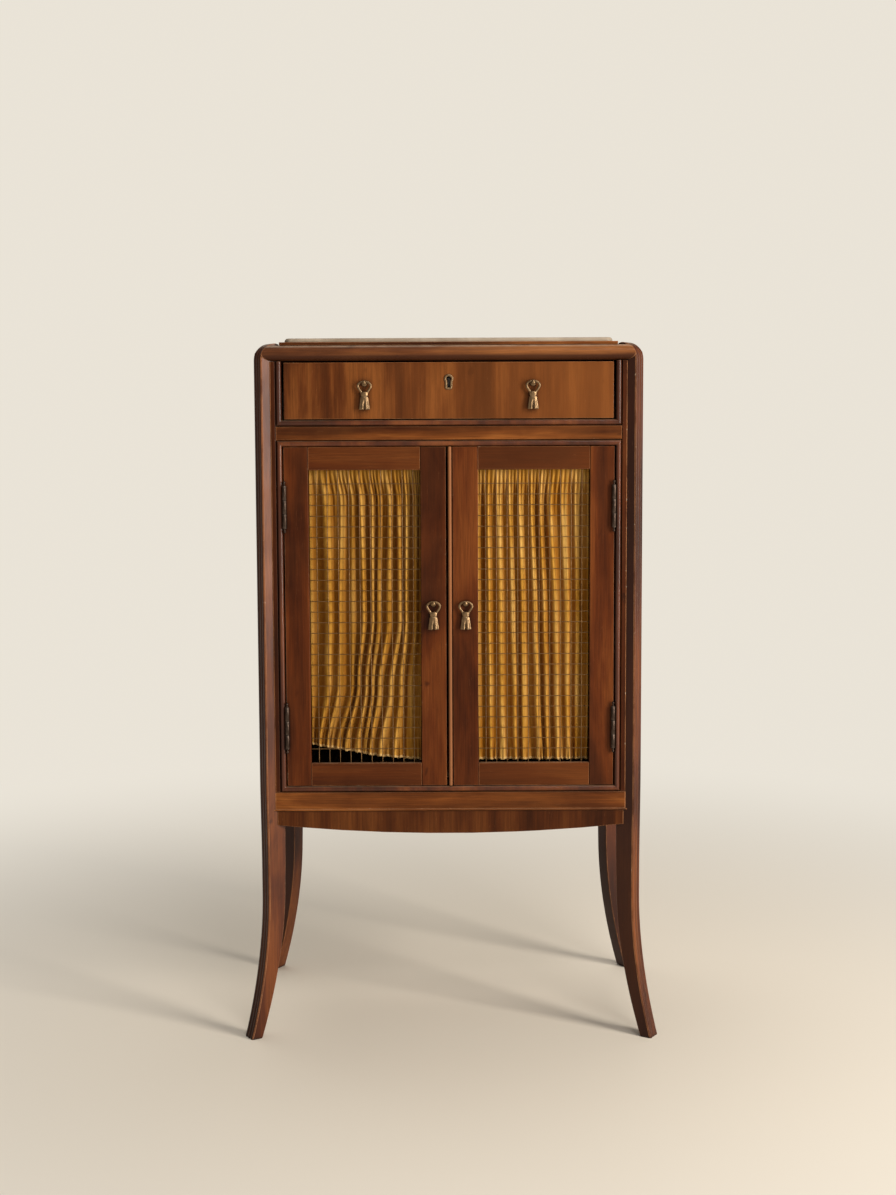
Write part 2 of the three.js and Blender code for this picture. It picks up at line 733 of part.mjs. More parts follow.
function topBoard() {
  const lipFront = TOP_LIP_SETBACK - arrisY;
  const board = block(-topEdge, topEdge, noseBack + SEAT, -lipFront, topLevel - TOP_BOARD, topLevel);
  const lipTop = topLevel + TOP_LIP_RISE;
  const lipRoot = block(-topLip, topLip, noseBack + SEAT, -lipFront, topLevel - LAP, lipTop);
  const lip = block(-topLip, topLip, lipFront, -lipFront, topLevel + SEAT, lipTop);
  const half = topLip - MARBLE_BORDER;
  const front = lipFront + MARBLE_BORDER;
  const pocket = block(-half, half, front, -front, topLevel, topLevel + FAR);
  return cut(join(board, lipRoot, lip), pocket, ...postPrisms());
}

/** The posts themselves, as plain prisms with a fitting gap round them. */
function postPrisms() {
  const prism = block(-PLAIN_FACE - SEAT, SEAT, -SEAT, REEDED_FACE + SEAT, 0, topLevel + SEAT / 2);
  const right = prism.rotateZ(-POST_TURN).translate(arrisX, -arrisY, 0);
  const left = mirrored(right);
  return [right, left, right.clone().rotateZ(Math.PI), left.clone().rotateZ(Math.PI)];
}

/** A rectangle with round corners as a ring of points at one height. */
function slabRing(halfX, halfY, corner, z) {
  const ring = [];
  [[1, 1], [-1, 1], [-1, -1], [1, -1]].forEach(([sx, sy], quarter) => {
    for (let i = 0; i <= ROUND_STEPS / 2; i += 1) {
      const angle = (Math.PI / 2) * (quarter + i / (ROUND_STEPS / 2));
      ring.push(new THREE.Vector3(
        sx * (halfX - corner) + corner * Math.cos(angle),
        sy * (halfY - corner) + corner * Math.sin(angle),
        z,
      ));
    }
  });
  return ring;
}

function marbleSlab() {
  const halfX = topLip - MARBLE_BORDER - SEAT;
  const halfY = arrisY - TOP_LIP_SETBACK - MARBLE_BORDER - SEAT;
  const base = topLevel + SEAT;
  const top = base + MARBLE_THICKNESS;
  const ease = MARBLE_EASE;
  const rings = [slabRing(halfX, halfY, MARBLE_CORNER, base)];
  for (const angle of [0, 0.25, 0.5, 0.75, 1].map((part) => (part * Math.PI) / 2)) {
    const inset = ease * (1 - Math.cos(angle));
    const z = top - MARBLE_EASE_RISE * (1 - Math.sin(angle));
    rings.push(slabRing(halfX - inset, halfY - inset, MARBLE_CORNER - inset, z));
  }
  return loft(rings);
}

place(carcase, "front_top_rail", noseRail(), RAIL_MAHOGANY);
place(carcase, "left_rolled_rail", rolledRail(-1), MAHOGANY);
place(carcase, "right_rolled_rail", rolledRail(1), MAHOGANY);
place(carcase, "top_board", topBoard(), MAHOGANY);
place(carcase, "marble_slab", marbleSlab(), MARBLE);

// ---- Sides, bottom, back and inside -----------------------------------------

const shelfBottom = floorLevel + RECORD_CLEARANCE;
const sideTop = earCentre - SIDE_RAIL_LIP - SIDE_RAIL_COVE - SEAT;

/** A side: the panel, the rail along its foot, and the batten for the shelf. */
function sidePanel(side) {
  const footOuter = panelOuter + (SIDE_FOOT_RAIL - SIDE_PANEL) / 2;
  const footInner = footOuter - SIDE_FOOT_RAIL;
  const footTop = UNDERSIDE - APRON_ENDS + SIDE_FOOT_HEIGHT;
  const section = outline([
    [side * footInner, UNDERSIDE - APRON_ENDS],
    [side * footOuter, UNDERSIDE - APRON_ENDS],
    [side * footOuter, footTop],
    [side * panelOuter, footTop],
    [side * panelOuter, sideTop],
    [side * panelInner, sideTop],
    [side * panelInner, floorLevel - BOTTOM_BOARD - SEAT],
    [side * footInner, floorLevel - BOTTOM_BOARD - SEAT],
  ]);
  const batten = block(
    side * (panelInner - BATTEN_DEPTH),
    side * (panelInner + LAP),
    -BATTEN_LENGTH / 2,
    BATTEN_LENGTH / 2,
    shelfBottom - SEAT - BATTEN_HEIGHT,
    shelfBottom - SEAT,
  );
  const panel = cut(frontToBack(section, -arrisY, arrisY), ...behindPosts);
  return join(panel, batten);
}

function bottomBoard() {
  const board = block(-boardEnd, boardEnd, frameBack + SEAT, backPanelFront - SEAT,
    floorLevel - BOTTOM_BOARD, floorLevel);
  const stop = block(-STOP_WIDTH / 2, STOP_WIDTH / 2, insideFront, insideFront + STOP_DEPTH,
    floorLevel - LAP, floorLevel + STOP_RISE);
  return cut(join(board, stop), ...behindPosts);
}

/** The board under the drawer, its side guides, and the doors' upper stop. */
function dustBoard() {
  const bottom = dustTop - DUST_BOARD;
  const back = backPanelFront - SEAT;
  const board = block(-boardEnd, boardEnd, frameBack + SEAT, back, bottom, dustTop);
  const guideInner = drawerHalf + RUN;
  const guides = [-1, 1].map((side) => block(
    side * guideInner,
    side * (guideInner + GUIDE_WIDTH),
    insideFront,
    back,
    dustTop - LAP,
    dustTop + GUIDE_HEIGHT,
  ));
  const stop = block(-STOP_WIDTH / 2, STOP_WIDTH / 2, insideFront, insideFront + STOP_DEPTH,
    doorTop - STOP_OVERLAP, bottom + LAP);
  return cut(join(board, ...guides, stop), ...behindPosts);
}

function shelf() {
  const board = block(-boardEnd, boardEnd, insideFront + SHELF_SETBACK, backPanelFront - SEAT,
    shelfBottom, shelfBottom + SHELF);
  return cut(board, ...behindPosts);
}

function backPanel() {
  const bottom = UNDERSIDE - APRON_ENDS;
  const top = topLevel - TOP_BOARD - SEAT;
  const panelBack = backPanelFront + BACK_PANEL;
  const profile = outline([
    [backPanelFront, bottom],
    [backRailFace, bottom],
    [backRailFace, bottom + BACK_RAIL_HEIGHT],
    [panelBack, bottom + BACK_RAIL_HEIGHT],
    [panelBack, top - BACK_RAIL_HEIGHT],
    [backRailFace, top - BACK_RAIL_HEIGHT],
    [backRailFace, top],
    [backPanelFront, top],
  ]);
  return cut(across(profile, -topEdge, topEdge), ...behindPosts);
}

place(carcase, "left_side_panel", sidePanel(-1), MAHOGANY);
place(carcase, "right_side_panel", sidePanel(1), MAHOGANY);
place(carcase, "bottom_board", bottomBoard(), LINING);
place(carcase, "dust_board", dustBoard(), LINING);
place(carcase, "shelf", shelf(), LINING);
place(carcase, "back_panel", backPanel(), LINING);

// ---- Hinges -----------------------------------------------------------------

const knuckle = HINGE_BARREL / 3;
const halfBarrel = HINGE_BARREL / 2;

/** The leaf on the jamb, with the outer knuckles, the pin and its finials. */
function jambLeaf(side) {
  const middle = knuckle / 2 + SEAT / 2;
  const end = [
    [KNUCKLE_RADIUS, halfBarrel],
    [FINIAL_NECK, halfBarrel + FINIAL * 0.3],
    [FINIAL_RADIUS, halfBarrel + FINIAL * 0.65],
    [0, halfBarrel + FINIAL],
  ];
  const upper = [[HINGE_PIN, middle], [KNUCKLE_RADIUS, middle], ...end];
  const lower = upper.map(([radius, z]) => [radius, -z]).reverse();
  const barrel = turned([...lower, ...upper]);
  const inner = BARREL_INSET + (HINGE_REVEAL - LEAF) / 2;
  const sides = [side * inner, side * (inner + LEAF)];
  const front = BARREL_STANDOFF;
  const plate = block(...sides, front, front + LEAF_DEPTH, -halfBarrel, halfBarrel);
  const tabs = [-1, 1].map((way) => block(
    ...sides,
    TAB_START,
    front + LAP,
    way * middle,
    way * halfBarrel,
  ));
  return join(barrel, plate, ...tabs);
}

/** The leaf let into the door's edge, with the middle knuckle. */
function doorLeaf(side) {
  const half = knuckle / 2 - SEAT / 2;
  const bore = HINGE_PIN + RUN;
  const tube = turned([
    [bore, -half],
    [KNUCKLE_RADIUS, -half],
    [KNUCKLE_RADIUS, half],
    [bore, half],
    [bore, -half],
  ]);
  const outer = BARREL_INSET - LEAF_RELIEF;
  const sides = [side * (outer - LEAF), side * outer];
  const front = BARREL_STANDOFF;
  const plate = block(...sides, front, front + LEAF_DEPTH, -halfBarrel, halfBarrel);
  const tab = block(...sides, bore + PIN_CLEAR, front + LAP, -half, half);
  return join(tube, plate, tab);
}

/** The recess for a door's leaf. */
function leafRecess(side, z) {
  return block(
    side * (hingeEdge - LEAF_RELIEF - LEAF - SEAT),
    side * (hingeEdge + LAP),
    doorFace - LAP,
    doorFace + LEAF_DEPTH + SEAT,
    z - halfBarrel - SEAT,
    z + halfBarrel + SEAT,
  );
}

for (const [name, side] of [["left", -1], ["right", 1]]) {
  for (const [level, z] of [["upper", upperHinge], ["lower", lowerHinge]]) {
    const axis = [side * hingeAxis, barrelY, z];
    place(carcase, `${name}_${level}_jamb_leaf`, jambLeaf(side), BRONZE, axis);
    place(doors[name], `${name}_${level}_door_leaf`, doorLeaf(side), BRONZE, axis);
  }
}

// ---- Doors ------------------------------------------------------------------

function hingeStile(side) {
  const ease = DOOR_ANGLE_EASE;
  const plan = outline([
    [side * (windowOuter + ease), doorFace],
    [side * hingeEdge, doorFace],
    [side * hingeEdge, doorBack],
    [side * rebateOuter, doorBack],
    [side * rebateOuter, shoulder],
    [side * windowOuter, shoulder],
    [side * windowOuter, doorFace + ease],
  ]);
  const recesses = [upperHinge, lowerHinge].map((z) => leafRecess(side, z));
  return cut(upright(plan, doorBottom, doorTop), ...recesses);
}

function lockStile(side) {
  const ease = DOOR_ANGLE_EASE;
  const shape = new THREE.Shape();
  const x = (value) => side * value;
  shape.moveTo(x(rebateInner), doorBack);
  shape.lineTo(x(rebateInner), shoulder);
  shape.lineTo(x(windowInner), shoulder);
  shape.lineTo(x(windowInner), doorFace + ease);
  shape.lineTo(x(windowInner - ease), doorFace);
  shape.lineTo(x(lockEdge), doorFace);
  if (side > 0) {
    // The closing bead stands on this door's meeting edge, beside a quirk.
    const radius = CLOSING_BEAD / 2;
    const beadInner = lockEdge - CLOSING_QUIRK;
    shape.lineTo(x(lockEdge), doorFace + CLOSING_QUIRK);
    shape.lineTo(x(beadInner), doorFace + CLOSING_QUIRK);
    for (let i = 0; i <= ROUND_STEPS; i += 1) {
      const angle = (Math.PI * i) / ROUND_STEPS;
      shape.lineTo(x(beadInner - radius * (1 - Math.cos(angle))), doorFace - radius * Math.sin(angle));
    }
    shape.lineTo(x(beadInner - CLOSING_BEAD), doorBack);
  } else {
    shape.lineTo(x(lockEdge), doorBack);
  }
  return upright(shape, doorBottom, doorTop);
}

function doorRail(side, bottom, top) {
  const ease = DOOR_ANGLE_EASE;
  const upper = bottom > windowBottom;
  const windowEdge = upper ? bottom : top;
  const outerEdge_ = upper ? top : bottom;
  const away = upper ? 1 : -1;
  const front = outline([
    [doorFace, outerEdge_],
    [doorFace, windowEdge + away * ease],
    [doorFace + ease, windowEdge],
    [shoulder, windowEdge],
    [shoulder, outerEdge_],
  ]);
  const back = outline([
    [shoulder - LAP, outerEdge_],
    [shoulder - LAP, windowEdge + away * REBATE_WIDTH],
    [doorBack, windowEdge + away * REBATE_WIDTH],
    [doorBack, outerEdge_],
  ]);
  const span = (near, far) => [side * near, side * far].sort((a, b) => a - b);
  const frontPart = across(front, ...span(windowInner + SEAT, windowOuter - SEAT));
  const backPart = across(back, ...span(rebateInner + SEAT, rebateOuter - SEAT));
  const seats = [
    block(side * (windowInner + SEAT), side * -FAR, doorFace - LAP, shoulder + SEAT, 0, 2 * FAR),
    block(side * (windowOuter - SEAT), side * FAR, doorFace - LAP, shoulder + SEAT, 0, 2 * FAR),
  ];
  return join(frontPart, cut(backPart, ...seats));
}

/** A three-cornered wire from one end to the other, its ridge to the back or front. */
function wire(from, to, base, ridge, upright_) {
  const section = (at) => [[-WIRE / 2, base], [WIRE / 2, base], [0, ridge]].map(([off, y]) => (
    upright_ ? new THREE.Vector3(from[0] + off, y, at) : new THREE.Vector3(at, y, from[1] + off)
  ));
  const ends = upright_ ? [from[1], to[1]] : [from[0], to[0]];
  return loft(ends.map(section));
}

/** The net: level wires welded behind the upright ones. */
function wireNet(side) {
  const front = shoulder + SEAT;
  const weld = front + WIRE;
  const middleX = side * (windowInner + windowOuter) / 2;
  const middleZ = (windowBottom + windowTop) / 2;
  const left = middleX - WINDOW_WIDTH / 2 - REBATE_WIDTH + SEAT;
  const right = middleX + WINDOW_WIDTH / 2 + REBATE_WIDTH - SEAT;
  const low = windowBottom - REBATE_WIDTH + SEAT;
  const high = windowTop + REBATE_WIDTH - SEAT;
  const wires = [];
  for (let i = 0; i < UPRIGHT_WIRES; i += 1) {
    const x = middleX + (i - (UPRIGHT_WIRES - 1) / 2) * WIRE_PITCH;
    wires.push(wire([x, low], [x, high], front, weld, true));
  }
  for (let i = 0; i < LEVEL_WIRES; i += 1) {
    const z = middleZ + (i - (LEVEL_WIRES - 1) / 2) * WIRE_PITCH;
    wires.push(wire([left, z], [right, z], weld - WIRE_BITE + WIRE, weld - WIRE_BITE, false));
  }
  return join(...wires);
}

/**
 * A gathered curtain. Each level is a ring of points that runs along the folds in
 * front and back behind them: three levels round the rod, where the cloth is sewn
 * into a sleeve, and then one at every third of the drop down to the hem.
 */
function curtain(side) {
  const near = rebateInner + CURTAIN_EASE;
  const far = rebateOuter - CURTAIN_EASE;
  const bore = ROD_RADIUS + RUN;
  const sleeve = bore + SLEEVE_WALL;
  const levels = [
    { rise: bore + CLOTH / 2, half: sleeve * SLEEVE_CROWN, drop: 0, ripple: SLEEVE_RIPPLE },
    { rise: 0, half: sleeve, drop: 0, ripple: SLEEVE_RIPPLE },
    { rise: -bore - CLOTH, half: CLOTH / 2, drop: 0, ripple: SLEEVE_RIPPLE },
  ];
  for (let row = 1; row <= CURTAIN_ROWS; row += 1) {
    const drop = row / CURTAIN_ROWS;
    levels.push({ rise: 0, half: CLOTH / 2, drop, ripple: FOLD_DEPTH });
  }
  const steps = FOLDS * POINTS_PER_FOLD;
  const rings = levels.map(({ rise, half, drop, ripple }) => {
    const front = [];
    const behind = [];
    for (let i = 0; i <= steps; i += 1) {
      const u = i / steps;
      const middle = rodY + ripple * Math.sin(2 * Math.PI * FOLDS * u);
      const [x, z] = hang(side, u, drop, near, far);
      front.push(new THREE.Vector3(side * x, middle - half, z + rise));
      behind.unshift(new THREE.Vector3(side * x, middle + half, z + rise));
    }
    return [...front, ...behind];
  });
  const channel = new THREE.CylinderGeometry(bore, bore, FAR, ROUND_STEPS, 1, false, Math.PI / ROUND_STEPS)
    .rotateZ(Math.PI / 2)
    .translate(side * (near + far) / 2, rodY, rodZ);
  return cut(loft(rings), channel);
}

/**
 * Where a point of a curtain hangs: u runs from the meeting side outward, drop from
 * the rod down to the hem. The left curtain is loose: its folds sweep outward and
 * its hem is drawn up towards the hinges.
 */
function hang(side, u, drop, near, far) {
  const loose = side < 0;
  const lift = loose ? THREE.MathUtils.lerp(LEFT_HEM_INNER, LEFT_HEM_OUTER, u * u) : RIGHT_HEM;
  const sweep = loose ? LEFT_SWEEP * Math.sin(Math.PI * u) * drop ** 2 : 0;
  const x = THREE.MathUtils.lerp(near, far, u) + sweep;
  return [x, THREE.MathUtils.lerp(rodZ, windowBottom + lift, drop)];
}

function curtainRod(side) {
  const length = rebateOuter - rebateInner - 2 * SEAT;
  return new THREE.CylinderGeometry(ROD_RADIUS, ROD_RADIUS, length, TURNED_STEPS)
    .rotateZ(Math.PI / 2)
    .translate(side * (rebateInner + rebateOuter) / 2, rodY, rodZ);
}

for (const [name, side] of [["left", -1], ["right", 1]]) {
  const door = doors[name];
  place(door, `${name}_hinge_stile`, hingeStile(side), MAHOGANY);
  place(door, `${name}_lock_stile`, lockStile(side), MAHOGANY);
  place(door, `${name}_door_top_rail`, doorRail(side, windowTop, doorTop), MAHOGANY);
  place(door, `${name}_door_bottom_rail`, doorRail(side, doorBottom, windowBottom), MAHOGANY);
  place(door, `${name}_wire_net`, wireNet(side), NET);
  place(door, `${name}_curtain`, curtain(side), CURTAIN);
  place(door, `${name}_curtain_rod`, curtainRod(side), BRASS);
}

// ---- Drawer -----------------------------------------------------------------

/** A keyhole: a round top over a straight slot, widened by a rim. */
function keyholeOutline(rim) {
  const shape = new THREE.Shape();
  const radius = KEYHOLE_RADIUS + rim;
  const slot = KEYHOLE_SLOT / 2 + rim;
  const centre = keyholeTop - KEYHOLE_RADIUS;
  const bottom = keyholeTop - KEYHOLE_HEIGHT - rim;
  const meet = Math.asin(slot / radius);
  shape.moveTo(-slot, bottom);
  shape.lineTo(slot, bottom);
  shape.absarc(0, centre, radius, meet - Math.PI / 2, 1.5 * Math.PI - meet, false);
  return shape;
}

function drawerFront() {
  const board = block(-drawerHalf, drawerHalf, doorFace, doorBack, drawerBottom, drawerTop);
  const lockSeat = block(
    -LOCK_WIDTH / 2 - SEAT,
    LOCK_WIDTH / 2 + SEAT,
    doorBack - LOCK_THICKNESS - SEAT,
    doorBack + LAP,
    drawerTop - LOCK_HEIGHT - SEAT,
    drawerTop + LAP,
  );
  const keyhole = frontToBack(keyholeOutline(0), doorFace - LAP, doorBack);
  return cut(board, lockSeat, keyhole);
}

const liningBottom = drawerBottom;
const liningTop = drawerBottom + DRAWER_SIDE_HEIGHT;
const liningFront = doorBack + SEAT;
const liningBack = backPanelFront - DRAWER_END_GAP;
const liningInner = drawerHalf - DRAWER_LINING;
const drawerFloor = drawerBottom + DRAWER_GROOVE;
const grooveDepth = DRAWER_LINING / 2;

function drawerSide(side) {
  const board = block(
    side * liningInner,
    side * drawerHalf,
    liningFront,
    liningBack,
    liningBottom,
    liningTop,
  );
  const groove = block(
    side * (liningInner - LAP),
    side * (liningInner + grooveDepth),
    -FAR,
    FAR,
    drawerFloor - SEAT,
    drawerFloor + DRAWER_BOTTOM + SEAT,
  );
  return cut(board, groove);
}

function drawerBack() {
  const half = liningInner - SEAT;
  return block(-half, half, liningBack - DRAWER_LINING, liningBack,
    drawerFloor + DRAWER_BOTTOM + SEAT, liningTop);
}

function drawerBottomBoard() {
  const half = liningInner + grooveDepth - SEAT;
  return block(-half, half, liningFront, liningBack, drawerFloor, drawerFloor + DRAWER_BOTTOM);
}

function escutcheon() {
  const back = doorFace - SEAT;
  const plate = frontToBack(keyholeOutline(ESCUTCHEON_RIM), back - ESCUTCHEON, back);
  return cut(plate, frontToBack(keyholeOutline(0), -FAR, FAR));
}

const lockFront = doorBack - LOCK_THICKNESS;
const boltTop = drawerTop - SEAT;

function lockCase() {
  const half = LOCK_WIDTH / 2;
  const body = block(-half, half, lockFront, doorBack, drawerTop - LOCK_HEIGHT, drawerTop);
  const slot = block(
    -BOLT_WIDTH / 2 - RUN,
    BOLT_WIDTH / 2 + RUN,
    lockFront + LOCK_WALL,
    doorBack - LOCK_WALL,
    boltTop - BOLT_LENGTH - RUN,
    drawerTop + LAP,
  );
  const keyway = frontToBack(keyholeOutline(0), lockFront - LAP, doorBack - LOCK_WALL);
  return cut(body, slot, keyway);
}

function lockBolt() {
  return block(
    -BOLT_WIDTH / 2,
    BOLT_WIDTH / 2,
    lockFront + LOCK_WALL + RUN,
    doorBack - LOCK_WALL - RUN,
    boltTop - BOLT_LENGTH,
    boltTop,
  );
}

place(drawer, "drawer_front", drawerFront(), VENEER);
place(drawer, "drawer_left_side", drawerSide(-1), LINING);
place(drawer, "drawer_right_side", drawerSide(1), LINING);
place(drawer, "drawer_back", drawerBack(), LINING);
place(drawer, "drawer_bottom", drawerBottomBoard(), LINING);
place(drawer, "escutcheon", escutcheon(), BRASS);
place(drawer, "drawer_lock_case", lockCase(), IRON);
place(drawer, "drawer_lock_bolt", lockBolt(), IRON);

// ---- Pulls ------------------------------------------------------------------
// Modelled at the stud: the panel's face is y = 0, and the stud stands forward.

const loopPlane = -(ROSETTE + NECK / 2);
const loopTop = NECK_RADIUS + RUN + RIBBON_WIDTH / 2;

function stud() {
  const head = ROSETTE + NECK;
  const knob = [0.35, 0.75, 1].map((part) => {
    const angle = Math.PI * part;
    return [KNOB_RADIUS * Math.sin(angle), head + (KNOB / 2) * (1 - Math.cos(angle))];
  });
  const profile = [
    [0, SEAT],
    [ROSETTE_RADIUS, SEAT],
    [ROSETTE_RADIUS, ROSETTE * 0.45],
    [ROSETTE_RADIUS * 0.62, ROSETTE],
    [NECK_RADIUS, ROSETTE],
    [NECK_RADIUS, head],
    ...knob,
  ];
  // The turned profile stands on +Z; it is laid over so that it points to -Y.
  return turned(profile).rotateX(Math.PI / 2);
}

/** The loop's centre line, from the top round to the top again. */
function loopPoint(t) {
  const angle = 2 * Math.PI * t;
  const drop = (LOOP_HEIGHT * (1 - Math.cos(angle))) / 2;
  const narrowing = 1 - 0.75 * smooth((drop / LOOP_HEIGHT - 0.3) / 0.7);
  const swell = Math.sqrt(Math.abs(Math.sin(angle))) * Math.sign(Math.sin(angle));
  return new THREE.Vector3(LOOP_HALF_WIDTH * swell * narrowing, loopPlane, loopTop - drop);
}

function ribbonLoop() {
  const steps = 20;
  const rings = [];
  for (let i = 0; i < steps; i += 1) {
    const here = loopPoint(i / steps);
    const along = loopPoint((i + 0.5) / steps).sub(loopPoint((i - 0.5) / steps)).normalize();
    const sideways = new THREE.Vector3(0, 1, 0).cross(along).normalize();
    rings.push([0, 1, 2, 3, 4, 5].map((corner) => {
      const angle = (Math.PI / 3) * corner;
      return here.clone()
        .addScaledVector(sideways, (RIBBON_WIDTH / 2) * Math.cos(angle))
        .add(new THREE.Vector3(0, (RIBBON_THICKNESS / 2) * Math.sin(angle), 0));
    }));
  }
  return loft(rings, true);
}

/** The tassel: knot, waist, band and a skirt that parts into lobes. */
function tassel() {
  const top = loopTop - LOOP_HEIGHT + RIBBON_WIDTH;
  const stations = [
    [0, 0.55 * TASSEL_WAIST, 0],
    [0.12, TASSEL_WAIST, 0],
    [0.3, 1.15 * TASSEL_WAIST, 0],
    [0.36, 0.92 * TASSEL_WAIST, 0],
    [0.42, 1.2 * TASSEL_WAIST, 0.3],
    [0.7, THREE.MathUtils.lerp(TASSEL_WAIST, TASSEL_HEM, 0.7), 0.8],
    [0.94, TASSEL_HEM, 1],
    [1, 0.86 * TASSEL_HEM, 1],
  ];
  const corners = 16;
  return loft(stations.map(([part, half, lobes]) => {
    const ring = [];
    for (let i = 0; i < corners; i += 1) {
      const angle = (2 * Math.PI * (i + 0.5)) / corners;
      const groove = i % 2 ? 1 - 0.2 * lobes : 1;
      ring.push(new THREE.Vector3(
        half * groove * Math.cos(angle),
        loopPlane + half * TASSEL_FLATNESS * groove * Math.sin(angle),
        top - TASSEL_LENGTH * part,
      ));
    }
    return ring;
  }));
}

const dropGeometry = join(ribbonLoop(), tassel());
const doorPullX = windowInner - DOOR_PULL_INSET;
const pulls = [
  [drawer, "drawer_left", -PULL_SPREAD, drawerTop - DRAWER_STUD],
  [drawer, "drawer_right", PULL_SPREAD, drawerTop - DRAWER_STUD],
  [doors.left, "left_door", -doorPullX, doorTop - DOOR_STUD],
  [doors.right, "right_door", doorPullX, doorTop - DOOR_STUD],
];
for (const [group, name, x, z] of pulls) {
  place(group, `${name}_stud`, stud(), BRASS, [x, doorFace, z]);
  place(group, `${name}_drop`, dropGeometry, BRASS, [x, doorFace, z]);
}

export default cabinet;
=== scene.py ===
"""Looks of a mahogany gramophone cabinet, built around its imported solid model.

Every piece stands where the frame's node stands, in metres, with +Z up and the front
towards -Y. Wooden boards and beads keep the frame's shape and get eased edges; posts,
hinges, pulls, the keyhole ring, wire nets and curtains are made anew, finer than the
frame holds them.
"""

import json
import logging
import math
from collections.abc import Callable, Iterable, Iterator, Sequence
from contextlib import contextmanager
from dataclasses import dataclass, field
from enum import Enum
from typing import Any, ClassVar

import bmesh
import bpy
import numpy as np
from mathutils import Matrix, Vector

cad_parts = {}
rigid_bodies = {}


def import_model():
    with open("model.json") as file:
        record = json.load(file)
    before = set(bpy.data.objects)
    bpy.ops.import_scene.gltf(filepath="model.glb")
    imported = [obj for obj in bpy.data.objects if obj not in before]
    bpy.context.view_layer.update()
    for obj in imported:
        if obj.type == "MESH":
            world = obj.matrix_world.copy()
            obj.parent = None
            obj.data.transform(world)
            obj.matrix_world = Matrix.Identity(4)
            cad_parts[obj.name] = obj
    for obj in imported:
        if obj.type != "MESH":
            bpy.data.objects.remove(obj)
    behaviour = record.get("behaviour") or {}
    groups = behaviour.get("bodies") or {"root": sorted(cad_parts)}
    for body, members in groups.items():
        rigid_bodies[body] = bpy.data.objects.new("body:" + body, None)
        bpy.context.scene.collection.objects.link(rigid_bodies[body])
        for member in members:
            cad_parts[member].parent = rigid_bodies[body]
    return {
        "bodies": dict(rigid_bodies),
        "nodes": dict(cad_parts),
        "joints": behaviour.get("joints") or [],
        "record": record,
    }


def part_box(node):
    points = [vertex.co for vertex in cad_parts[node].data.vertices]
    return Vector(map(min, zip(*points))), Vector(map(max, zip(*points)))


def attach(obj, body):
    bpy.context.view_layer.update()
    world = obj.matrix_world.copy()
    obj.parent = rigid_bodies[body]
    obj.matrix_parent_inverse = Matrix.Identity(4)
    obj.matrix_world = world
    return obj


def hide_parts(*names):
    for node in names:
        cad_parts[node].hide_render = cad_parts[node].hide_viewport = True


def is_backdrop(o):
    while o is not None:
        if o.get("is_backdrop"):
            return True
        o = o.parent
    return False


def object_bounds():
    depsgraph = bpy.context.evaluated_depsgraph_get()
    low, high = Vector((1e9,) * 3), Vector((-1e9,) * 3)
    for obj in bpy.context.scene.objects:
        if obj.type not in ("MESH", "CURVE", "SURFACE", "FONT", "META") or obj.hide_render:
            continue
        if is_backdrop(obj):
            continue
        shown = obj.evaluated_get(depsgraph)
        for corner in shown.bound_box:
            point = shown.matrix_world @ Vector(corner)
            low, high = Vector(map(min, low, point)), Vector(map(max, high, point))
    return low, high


LOG = logging.getLogger("cabinet")
MM = 0.001

Color = tuple[float, float, float]
Span = tuple[float, float]
Ring = list[Vector]
Socket = bpy.types.NodeSocket

BLACK: Color = (0.0, 0.0, 0.0)


class Grain(Enum):
    """The direction that a board's grain runs in, as the axes to read it by."""

    UPRIGHT = ("X", "Y", "Z")
    ACROSS = ("Y", "Z", "X")
    DEEP = ("X", "Z", "Y")


class Side(Enum):
    """A side of the cabinet seen from the front, as the sign of its x."""

    LEFT = -1
    RIGHT = 1

    @property
    def word(self) -> str:
        """The side's name in the frame's nodes."""
        return self.name.lower()


# ---- Node trees -------------------------------------------------------------


@dataclass(frozen=True)
class Noise:
    """How fine a noise is per metre, and how rough, warped and stretched it is."""

    scale: float
    detail: float = 3.0
    rough: float = 0.55
    warp: float = 0.0
    stretch: tuple[float, float, float] | None = None


